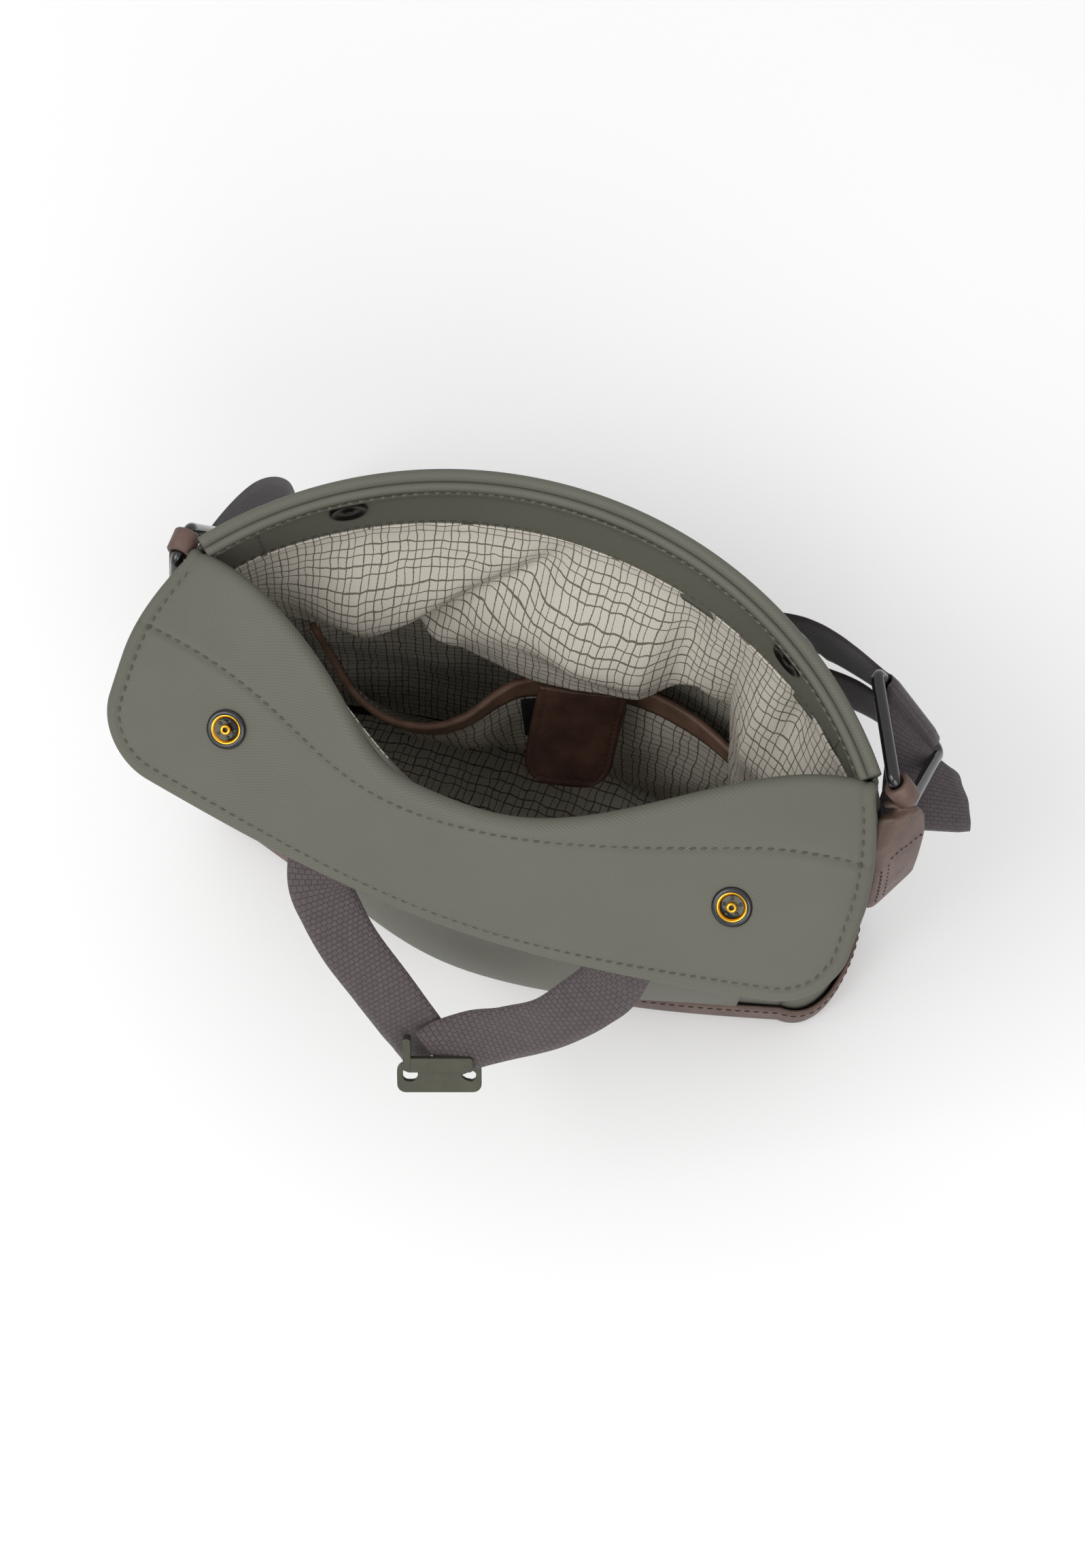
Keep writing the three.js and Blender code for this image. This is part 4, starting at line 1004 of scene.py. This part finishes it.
def flap_top(a, b):
    """Points on the flap's upper face, with outward directions."""
    along, down = directions(flap_all, a, b, 0.4)
    out = unit(np.cross(down, along))
    return flap_waved(a, b) + out * flap_relief(a, b)[..., None], out


CORNER_A, CORNER_B = FLAP_HALF - FLAP_RADIUS, FLAP_CLOTH - FLAP_RADIUS
quarter = [(math.cos(t), math.sin(t)) for t in np.linspace(0, PI / 2, 24)]
quarter = [(x * (FLAP_RADIUS - HEM), y * (FLAP_RADIUS - HEM)) for x, y in quarter]
edge_path = [(HEM - FLAP_HALF, b) for b in np.linspace(9, CORNER_B, 60)]
edge_path += [(-CORNER_A - x, CORNER_B + y) for x, y in quarter]
edge_path += [(a, FLAP_CLOTH - HEM) for a in np.linspace(-CORNER_A, CORNER_A, 140)]
edge_path += [(CORNER_A + x, CORNER_B + y) for x, y in quarter[::-1]]
edge_path += [(FLAP_HALF - HEM, b) for b in np.linspace(CORNER_B, 9, 60)]
ea, eb = np.array(edge_path).T
sa = np.linspace(3 - FLAP_HALF, FLAP_HALF - 3, 200)
flap_rows = [stitches("row", *flap_top(a, b), THREAD, sunk=0.12) for a, b in ((ea, eb), (sa, seam_cloth(sa)))]
bending(join("flap_stitches", flap_rows), "canvas", *FLAP_BLEND)


# Snaps
def flap_frame(a, b):
    point, out = flap_top(np.array([a]), np.array([b]))
    out = out[0]
    along = directions(flap_point, a, b, 0.5)[0]
    along = unit(along - out * along.dot(out))
    return {"point": point[0] - out * 0.4, "along": along, "up": np.cross(out, along), "out": out}


def socket_frame(side):
    s, t = side * SNAP_X / FRONT_RADIUS / PANEL_ANGLE, 1 - 12 / FRONT_Z
    along, up = directions(front_wall, s, t, 0.01)
    along = unit(-along)
    out = unit(np.cross(along, up))
    point = front_wall(np.array(s), np.array(t))
    return {"point": point, "along": along, "up": np.cross(out, along), "out": out}


RING = [(5.0, 0.2), (7.45, 0.2), (7.6, 0.7), (7.3, 1.35), (6.7, 1.75), (6.0, 1.8), (5.55, 1.5), (5.3, 1.0)]
GOLD_RING = [(4.1, 0.1), (5.7, 0.1), (5.75, 1.35), (5.45, 1.62), (5.0, 1.35), (4.5, 0.75)]
CUP = [(0.1, 0.05), (4.6, 0.05), (4.6, 0.5), (3.6, 0.35), (2.4, 0.3), (0.1, 0.3)]
POST = [(0.75, 0.3), (2.05, 0.3), (2.15, 0.9), (1.85, 2.3), (1.55, 2.65), (1.15, 2.6), (0.85, 2.2)]
CAP = [(0.1, -1.2), (5.6, -1.0), (7.4, -0.2), (7.5, 0.3), (7.0, 0.5), (0.1, 0.5)]
FAR_CAP = [(0.1, -1.9), (1.6, -2.0), (2.2, -1.5), (4.6, -1.3), (6.2, -1.9), (7.0, -2.2), (7.5, -1.7)]
FAR_CAP += [(7.4, -0.9), (0.1, -0.9)]
CLAW = [(0.05, -0.1), (0.85, -0.1), (0.6, 0.45), (0.05, 0.5)]
SOCKET = [(1.8, 2.2), (7.0, 2.2), (7.1, 4.6), (6.2, 5.4), (3.4, 5.4), (2.6, 4.2), (1.8, 4.2)]
for side, hand in ((1, "right"), (-1, "left")):
    at = flap_frame(side * (SNAP_X + 4), SNAP_CLOTH)
    stud = [lathe("p", RING, at, GUNMETAL), lathe("p", GOLD_RING, at, GOLD)]
    stud += [lathe("p", CUP, at, DARK_CUP), lathe("p", POST, at, GOLD, 20)]
    for k in range(5):
        turn = 2 * PI * (k + 0.3) / 5
        spoke = at["along"] * math.cos(turn) + at["up"] * math.sin(turn)
        lean = at["out"] + spoke * 0.35
        tip = {**at, "point": at["point"] + spoke * 3.25 + at["out"] * 0.35, "out": unit(lean)}
        stud.append(lathe("p", CLAW, tip, GUNMETAL, 10))
    fixed(join(f"stud_{hand}", stud), "brass", f"snap_stud_{hand}", body="flap")
    under = {**at, "point": at["point"] - at["out"] * 4.0}
    fixed(lathe(f"stud_back_{hand}", CAP, under, OLIVE_METAL), "dark_metal", f"stud_cap_{hand}", body="flap")
    far = socket_frame(side)
    far["point"] = far["point"] - far["out"] * 3.4
    fixed(lathe(f"far_cap_{hand}", FAR_CAP, far, CAP_BLACK), "dark_metal", f"socket_cap_{hand}")
    socket = lathe(f"socket_{hand}_metal", SOCKET, socket_frame(side), GUNMETAL)
    fixed(socket, "dark_metal", f"snap_socket_{hand}")


# The outer slip pocket on the back panel
def back_pocket(off, low, high):
    def surface(u, v):
        s = 0.86 * (2 * u - 1)
        t = low + (high - low) * v
        puff = 3 * smooth((t - 0.115) / 0.3) * np.cos(PI * s / 2)
        lip_gape = 8 * bell(s, -0.02, 0.3) * smooth((t - 0.48) / 0.2)
        p = back_wall(s, t)
        p[..., 1] -= off + puff + lip_gape + back_belly(s, t)
        p[..., 1] += ripple(p, 20, 0.7, 81) * np.sin(PI * v)
        return p

    return surface


slip = cloth("slip_pocket", back_pocket(3.4, 0.1, 0.7), 90, 50, CANVAS, 0.0, 1.5)
fixed(slip, "canvas", "back_pocket_panel")
slip_lip = cloth("slip_pocket_lip", back_pocket(3.4, 0.695, 0.735), 90, 6, CANVAS, -0.7, 2.2)
fixed(slip_lip, "canvas", "back_pocket_binding")

# Closure straps and buckle
for middle, hand in ((-52, "left"), (66, "right")):

    def anchor(u, v, middle=middle):
        return flap_point(middle + WEBBING * (u - 0.5), 50 + 32 * v)

    sewn = cloth(f"anchor_{hand}", anchor, 12, 12, WEB_NARROW, 3.2, 4.8)
    fixed(sewn, "webbing", f"strap_anchor_{hand}", body="flap")


def sewn_end(a, b):
    """A station on the flap's underside, outside the sewn anchor."""
    here = flap_point(np.array(a), np.array(b))
    under = unit(np.cross(*directions(flap_point, a, b, 0.5)))
    return tuple(here + under * 5.9), tuple(-under)


# Stations of each strap: a point and the way the webbing faces there.
CLOSURE_STATIONS = {
    "left": [
        sewn_end(-58.0, 62.0), sewn_end(-56.0, 74.0), ((-52, -92, 176.5), (0.1, -0.55, 0.83)),
        ((-45, -99, 170), (0.08, -0.58, 0.8)), ((-35, -107, 164), (0.06, -0.6, 0.8)),
        ((-19, -116, 154), (0.05, -0.62, 0.78)), ((-7, -122.5, 144.5), (0.05, -0.65, 0.74)),
        ((1, -126.5, 137), (0.05, -0.7, 0.7)), ((6, -129.5, 131), (0.05, -0.75, 0.6)),
    ],
    "right": [
        sewn_end(71.0, 62.0), sewn_end(68.5, 74.0), ((64.5, -90.5, 174.5), (0.05, -0.62, 0.78)),
        ((59, -97, 167.5), (0.12, -0.66, 0.72)), ((48, -107.5, 158.5), (0.25, -0.72, 0.62)),
        ((35, -114.5, 151.5), (0.24, -0.72, 0.65)), ((22, -120.5, 145.5), (0.12, -0.68, 0.72)),
        ((13, -126.5, 141), (0.1, -0.66, 0.75)), ((8, -131, 137.6), (0.2, -0.75, 0.66)),
    ],
}
LOOP_BLEND = ((0, -80, 180), (0, -100, 166))
for hand, stations in CLOSURE_STATIONS.items():
    piece = ribbon(f"closure_web_{hand}", stations, WEBBING, 140, WEB_NARROW)
    bending(piece, "webbing", *LOOP_BLEND, f"closure_strap_{hand}", bodies=("flap", "closure_loop"))

BUCKLE = np.array([12.0, -136.0, 133.0])
buckle_z = unit((0.22, -0.594, 0.774))
buckle_y = unit(np.cross(buckle_z, (0.938, 0.347, 0)))
buckle_x = np.cross(buckle_y, buckle_z)


def buckle_point(x, y, z):
    return (BUCKLE + buckle_x * x + buckle_y * y + buckle_z * z) * MM


def plate(name, shape, holes, low, high, material, round_edge=0.5):
    """An extruded outline with holes, with slightly rounded edges, in the buckle's own axes."""
    curve = bpy.data.curves.new(name, "CURVE")
    curve.dimensions = "2D"
    curve.fill_mode = "BOTH"
    for outline_points in [shape, *holes]:
        spline = curve.splines.new("POLY")
        spline.points.add(len(outline_points) - 1)
        for point, (x, y) in zip(spline.points, outline_points):
            point.co = (x * MM, y * MM, 0, 1)
        spline.use_cyclic_u = True
    curve.extrude = (high - low) / 2 * MM - round_edge * MM
    curve.bevel_depth = round_edge * MM
    curve.bevel_resolution = 2
    curve.offset = -round_edge * MM
    holder = bpy.data.objects.new(name, curve)
    bpy.context.scene.collection.objects.link(holder)
    bpy.context.view_layer.update()
    mesh = bpy.data.meshes.new_from_object(holder.evaluated_get(bpy.context.evaluated_depsgraph_get()))
    bpy.data.objects.remove(holder)
    bpy.data.curves.remove(curve)
    middle = (low + high) / 2
    for vertex in mesh.vertices:
        x, y, z = (c / MM for c in vertex.co)
        vertex.co = buckle_point(x, y, z + middle)
    mesh.materials.clear()
    mesh.materials.append(material)
    obj = bpy.data.objects.new(name, mesh)
    bpy.context.scene.collection.objects.link(obj)
    return obj


def rounded(x0, y0, x1, y1, r, steps=6):
    points = []
    centres = (x1 - r, y1 - r), (x0 + r, y1 - r), (x0 + r, y0 + r), (x1 - r, y0 + r)
    for quarter, (cx, cy) in enumerate(centres):
        for k in range(steps + 1):
            turn = PI / 2 * (quarter + k / steps)
            points.append((cx + r * math.cos(turn), cy + r * math.sin(turn)))
    return points


left_hole = rounded(-14.2, -2.6, -8.4, 3.2, 2.2)
right_hole = [(14.2, -1.8), (14.4, 0.6), (12.8, 1.9), (10.0, 0.9), (8.6, -0.8), (10.6, -2.2), (12.8, -2.7)]
buckle_outline = rounded(-16.5, -7.6, 16.5, 5.0, 3.4)
frame_piece = plate("buckle_plate", buckle_outline, [left_hole, right_hole], -1.3, 1.3, OLIVE_METAL)
fixed(frame_piece, "dark_metal", "buckle_frame", body="buckle")
bar = plate("buckle_bar", rounded(-13.2, 2.4, 13.4, 8.6, 1.6), [], 1.5, 4.2, OLIVE_METAL)
post = plate("buckle_post", rounded(-14.0, 3.0, -10.8, 17.0, 1.2), [], -0.5, 4.4, OLIVE_METAL)
fixed(join("buckle_hook_metal", [bar, post]), "dark_metal", "buckle_hook", body="closure_loop")

# Rings and leather tabs
EYE = np.array([144.5, 1.5, 231.5])
LEFT_EYE = np.array([-140.5, 1.5, 231.5])
RING_REACH = 41.0
RING_CORNERS = np.array([(-6.5, 0), (6.5, 0), (24, RING_REACH), (-24, RING_REACH)], float)


def ring_axes(eye, side, out):
    side = unit(side)
    out = unit(np.asarray(out, float) - side * np.dot(out, side))
    return {"eye": eye, "side": side, "out": out, "up": np.cross(side, out)}


RIGHT = ring_axes(EYE, (0.67, -0.184, -0.72), (-0.241, 0.911, -0.334))
LEFT = ring_axes(LEFT_EYE, (0, 1, 0), (0, 0, -1))


def ring_piece(name, axes):
    path = []
    for i in range(4):
        here, before, after = RING_CORNERS[i], RING_CORNERS[i - 1], RING_CORNERS[(i + 1) % 4]
        back, on = unit(before - here), unit(after - here)
        reach = 3.4 / math.tan(math.acos(back.dot(on)) / 2)
        start, end = here + back * reach, here + on * reach
        for t in np.linspace(0, 1, 12):
            path.append((1 - t) ** 2 * start + 2 * t * (1 - t) * here + t * t * end)
    points = [axes["eye"] + axes["side"] * x + axes["out"] * y for x, y in path]
    return tube(name, points, ROD, BLACK, 20, closed=True)


fixed(ring_piece("ring_rod_right", RIGHT), "black_metal", "ring_right", body="ring_right")
fixed(ring_piece("ring_rod_left", LEFT), "black_metal", "ring_left", body="ring_left")


def eye_wrap(axes, length=9.0, outer=5.2, inner=3.0):
    at = {"point": axes["eye"], "along": axes["out"], "up": axes["up"], "out": axes["side"]}
    half = length / 2
    profile = [(inner, -half), (outer - 0.5, -half), (outer, 0.6 - half)]
    profile += [(r, -h) for r, h in profile[::-1]]
    return lathe("wrap", profile, at, TAB_LEATHER, 32)


TAB_STEPS, TAB_THICK = 60, 3.4


def tab_piece(name, axes, stations):
    """Leather folded round the ring's narrow end, widening to its sewn end.

    Each station is a point, the width and its direction there. Also returns face_point, which gives
    a point and its outward direction on the face named by lift, 1 or -1.
    """
    line, where, total = catmull([p for p, _, _ in stations], TAB_STEPS)
    wides = np.interp(where, range(len(stations)), [w for _, w, _ in stations])
    sides = np.array([unit(s) for _, _, s in stations])
    side = np.stack([np.interp(where, range(len(stations)), sides[:, k]) for k in range(3)], 1)
    tangent = np.gradient(line, axis=0)

    def face_axes(i):
        normal = unit(np.cross(side[i], unit(tangent[i])))
        return np.cross(unit(tangent[i]), normal), normal

    def crown(i, a):
        return 0.8 * (1 - a * a) * math.sin(PI * min(1, i / TAB_STEPS * 1.2))

    profile = slab_profile(16, (0.75, 10))
    vertices, uvs = [], []
    for i in range(len(line)):
        across, normal = face_axes(i)
        for a, b in profile:
            rise = b * TAB_THICK / 2 + crown(i, a)
            vertices.append((line[i] + across * (a * wides[i] / 2) + normal * rise) * MM)
            uvs.append((a * wides[i] / 2, total * i / TAB_STEPS))
    body = finish_mesh(name, vertices, skin(len(line), len(profile)), TAB_LEATHER, uvs)

    def face_point(length_share, a, lift):
        i = min(TAB_STEPS - 1, max(1, int(length_share * TAB_STEPS)))
        across, normal = face_axes(i)
        rise = TAB_THICK / 2 * lift + crown(i, a)
        return line[i] + across * (a * wides[i] / 2) + normal * rise, normal * lift

    return join(name, [body, eye_wrap(axes)]), face_point


RIGHT_TAB = [
    ((144.6, -2.4, 229.0), 9, tuple(-RIGHT["side"])), ((146.2, -5, 223.5), 17, (0.25, 0.6, 0.5)),
    ((148.6, -8, 215.5), 24.5, (0.40, 0.88, 0.2)), ((151, -11, 204), 27, (0.415, 0.91, 0)),
    ((152.2, -14, 190), 27, (0.415, 0.91, 0)), ((152.5, -16.5, 177), 27, (0.415, 0.91, 0)),
]
LEFT_TAB = [
    ((-143, 0, 229.4), 9, tuple(LEFT["side"])), ((-143.2, -1, 221), 14, (-0.1, 0.99, 0)),
    ((-144, -2, 212), 21, (-0.2, 0.97, 0)), ((-145.5, -3, 203), 26, (-0.25, 0.96, 0)),
    ((-148, -4.5, 190), 27, (-0.3, 0.95, 0)), ((-148.5, -6, 177), 27, (-0.3, 0.95, 0)),
]
for axes, stations, hand in ((RIGHT, RIGHT_TAB, "right"), (LEFT, LEFT_TAB, "left")):
    piece, face_point = tab_piece(f"tab_{hand}", axes, stations)
    fixed(piece, "tab_leather", f"side_tab_{hand}")
    rows = []
    for face in (1, -1):
        paths = [[(t, share) for t in np.linspace(0.50, 0.98, 24)] for share in (-0.84, -0.52)]
        paths.append([(0.47 + 0.03 * k / 12, -0.5 + 1.35 * k / 12) for k in range(13)])
        for path in paths:
            points, outs = zip(*[face_point(*place, face) for place in path])
            rows.append(stitches("row", points, outs, THREAD_BROWN, long=1.9, pitch=2.7, thick=0.34))
    fixed(join(f"tab_{hand}_stitches", rows), "tab_leather")

# The shoulder strap
WRAP = ROD + STRAP_THICK / 2 + 0.25


def by_bar(axes):
    def at(along_out, along_up, along_side=0.0):
        reach = axes["eye"] + axes["out"] * (RING_REACH + along_out)
        return tuple(reach + axes["up"] * along_up + axes["side"] * along_side)

    return at


at_right, at_left = by_bar(RIGHT), by_bar(LEFT)
RUN_HIGH, RUN_LOW = np.array([108, 68, 142.0]), np.array([-96, 86, 46.0])
RUN_FACE = (0, 1, 0.06)
FLOOR_Y = 99.0
LAYERS = (1.4, 6.6, 11.8)


def run_at(share):
    return tuple(RUN_HIGH + (RUN_LOW - RUN_HIGH) * share)


def round_bar(axes, at, start, end, sideways=False):
    """Stations of webbing round a ring's bar between two angles, in degrees from straight out."""
    stations = []
    for k in range(9):
        angle = math.radians(start + (end - start) * k / 8)
        ahead, above = math.cos(angle), math.sin(angle)
        facing_out = tuple(axes["out"] * ahead + axes["up"] * above)
        way = (None, tuple(axes["side"])) if sideways else (facing_out,)
        stations.append((at(WRAP * ahead, WRAP * above), *way))
    return stations


strap_right_stations = [
    ((44, 83, 120), (0, 1, 0)), ((60, 81, 136), (0, 1, 0)), ((80, 75, 162), (0, 1, 0)),
    ((96, 66, 187), None, (0.35, 0, -0.94)), ((110, 58, 200), None, (0.5, -0.08, -0.86)),
    ((122, 50.5, 209), None, (0.62, -0.15, -0.77)), *round_bar(RIGHT, at_right, 30, 150, sideways=True),
    ((141, 33.5, 212), None, (0.70, -0.12, -0.69)), ((149, 24.5, 203.5), None, (0.84, 0.15, -0.48)),
    ((154.5, 14, 196), None, (0.9, 0.3, -0.3)), ((157.2, 8.3, 190.3), None, (0.92, 0.34, -0.22)),
    ((157.8, 6.8, 186.5), None, (0.93, 0.35, -0.2)), ((156.8, 9, 182.8), None, (0.92, 0.35, -0.2)),
    ((154.5, 15, 178), None, (0.9, 0.33, -0.3)), ((151, 30, 169), None, (0.75, 0.2, -0.62)),
    ((142, 50, 158), None, (0.5, -0.1, -0.85)), ((126, 62, 149), None, (0.4, -0.05, -0.9)),
    (run_at(0.02), (0, -1, 0)), (run_at(0.3), (0, -1, 0)), (run_at(0.65), (0, -1, 0)),
    (run_at(1), (0, -1, -0.06)), ((-112, 92, 30), (0, -0.8, -0.4)), ((-125, 97.5, 17), (0.1, -0.35, -0.93)),
    ((-136, FLOOR_Y, LAYERS[2]), (0, 0, -1)), ((-138.6, FLOOR_Y, (LAYERS[1] + LAYERS[2]) / 2), (1, 0, 0)),
    ((-136, FLOOR_Y, LAYERS[1]), (0, 0, 1)),
    ((-40, FLOOR_Y, LAYERS[1]), (0, 0, 1)),
]
strap_left_stations = [
    ((-40, FLOOR_Y, LAYERS[1]), (0, 0, 1)), ((60, FLOOR_Y, LAYERS[1]), (0, 0, 1)),
    ((62.6, FLOOR_Y, (LAYERS[0] + LAYERS[1]) / 2), (1, 0, 0)), ((60, FLOOR_Y, LAYERS[0]), (0, 0, -1)),
    ((-40, FLOOR_Y, LAYERS[0]), (0, 0, -1)), ((-130, FLOOR_Y, LAYERS[0]), (0, 0, -1)),
    ((-147, FLOOR_Y, LAYERS[0] + 0.5), (0, 0, -1)), ((-155, FLOOR_Y, LAYERS[0] + 4), (-0.7, 0, -0.7)),
    ((-158.5, 98.5, LAYERS[0] + 13), (-1, 0, -0.1)), ((-159, 94, 50), (-1, 0, 0)), ((-158, 70, 98), (-1, 0, 0)),
    ((-155, 34, 138), (-1, 0, 0)), ((-151.5, 8, 160), (-1, 0, 0)), (at_left(18, WRAP), tuple(LEFT["up"])),
    *round_bar(LEFT, at_left, 90, 270), (at_left(14, -WRAP), tuple(-LEFT["up"])),
]
strap_right_piece = ribbon("strap_long", strap_right_stations, STRAP, 900, WEB_WIDE, shear=True)
bending(
    strap_right_piece, "webbing", at_right(46, 0), at_right(8, 0),
    "shoulder_strap", "strap_return", "strap_turn_right", bodies=("bag", "ring_right"),
)
strap_left_piece = ribbon("strap_short", strap_left_stations, STRAP, 340, WEB_WIDE)
LEFT_BLEND = ((-150, 8, 148), (-145, 4, 180))
bending(strap_left_piece, "webbing", *LEFT_BLEND, "strap_turn_left", bodies=("bag", "ring_left"))

# The slider: a rounded frame on the strap with its bar behind it.
run_x = unit(RUN_LOW - RUN_HIGH)
run_z = unit(np.array(RUN_FACE) - run_x * np.dot(RUN_FACE, run_x))
run_y = np.cross(run_z, run_x)
slider_at = np.array(run_at(0.45))


def slider_point(x, y, z):
    return slider_at + run_x * x + run_y * y + run_z * z


frame_path = [slider_point(x, y, 2.9) for x, y in rounded(-12.6, -20.6, 12.6, 20.6, 2.4)]
slider_parts = [tube("part", frame_path, 1.5, BLACK, 12, closed=True)]
BAR = ((-20.4, 2.6), (-20.2, -1.4), (-18.6, -2.6), (18.6, -2.6), (20.2, -1.4), (20.4, 2.6))
bar_path = [slider_point(0, y, z) for y, z in BAR]
bar_line, _, _ = catmull(bar_path, 40)
slider_parts.append(tube("part", bar_line, 1.5, BLACK, 12))
fixed(join("slider_metal", slider_parts), "black_metal", "strap_slider", body="slider")


# Stage: a pale floor and soft studio light
def stage_plane():
    s = Shader("studio_floor", 0.9)
    s.colour((*srgb(241, 241, 241), 1))
    size = 6.0
    corners = [(-size, -size, -0.0004), (size, -size, -0.0004), (size, size, -0.0004), (-size, size, -0.0004)]
    return finish_mesh("studio_floor", corners, [(0, 1, 2, 3)], s.material, smooth=False)


def area_light(name, place, target, size, power, tint=(1, 1, 1)):
    data = bpy.data.lights.new(name, "AREA")
    data.size, data.energy, data.color = size, power, tint
    lamp = bpy.data.objects.new(name, data)
    turn = (Vector(target) - Vector(place)).to_track_quat("-Z", "Y").to_matrix().to_4x4()
    lamp.matrix_world = Matrix.Translation(Vector(place)) @ turn
    bpy.context.scene.collection.objects.link(lamp)
    return lamp


world = bpy.data.worlds.new("studio")
world.use_nodes = True
world.node_tree.nodes["Background"].inputs["Color"].default_value = (1, 1, 1, 1)
world.node_tree.nodes["Background"].inputs["Strength"].default_value = 0.82
bpy.context.scene.world = world
bpy.context.scene.view_settings.view_transform = "Standard"
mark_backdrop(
    stage_plane(),
    area_light("key", (-1.0, -1.0, 1.9), (0, 0, 0.15), 1.3, 19),
    area_light("fill", (0.9, -1.3, 1.5), (0, 0, 0.15), 1.2, 12),
)

visual_low, visual_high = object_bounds()
for label, low, high in (("cad", cad_low, cad_high), ("visual", visual_low, visual_high)):
    json.dumps({label: [[round(c, 5) for c in low], [round(c, 5) for c in high]]}) + "\n"
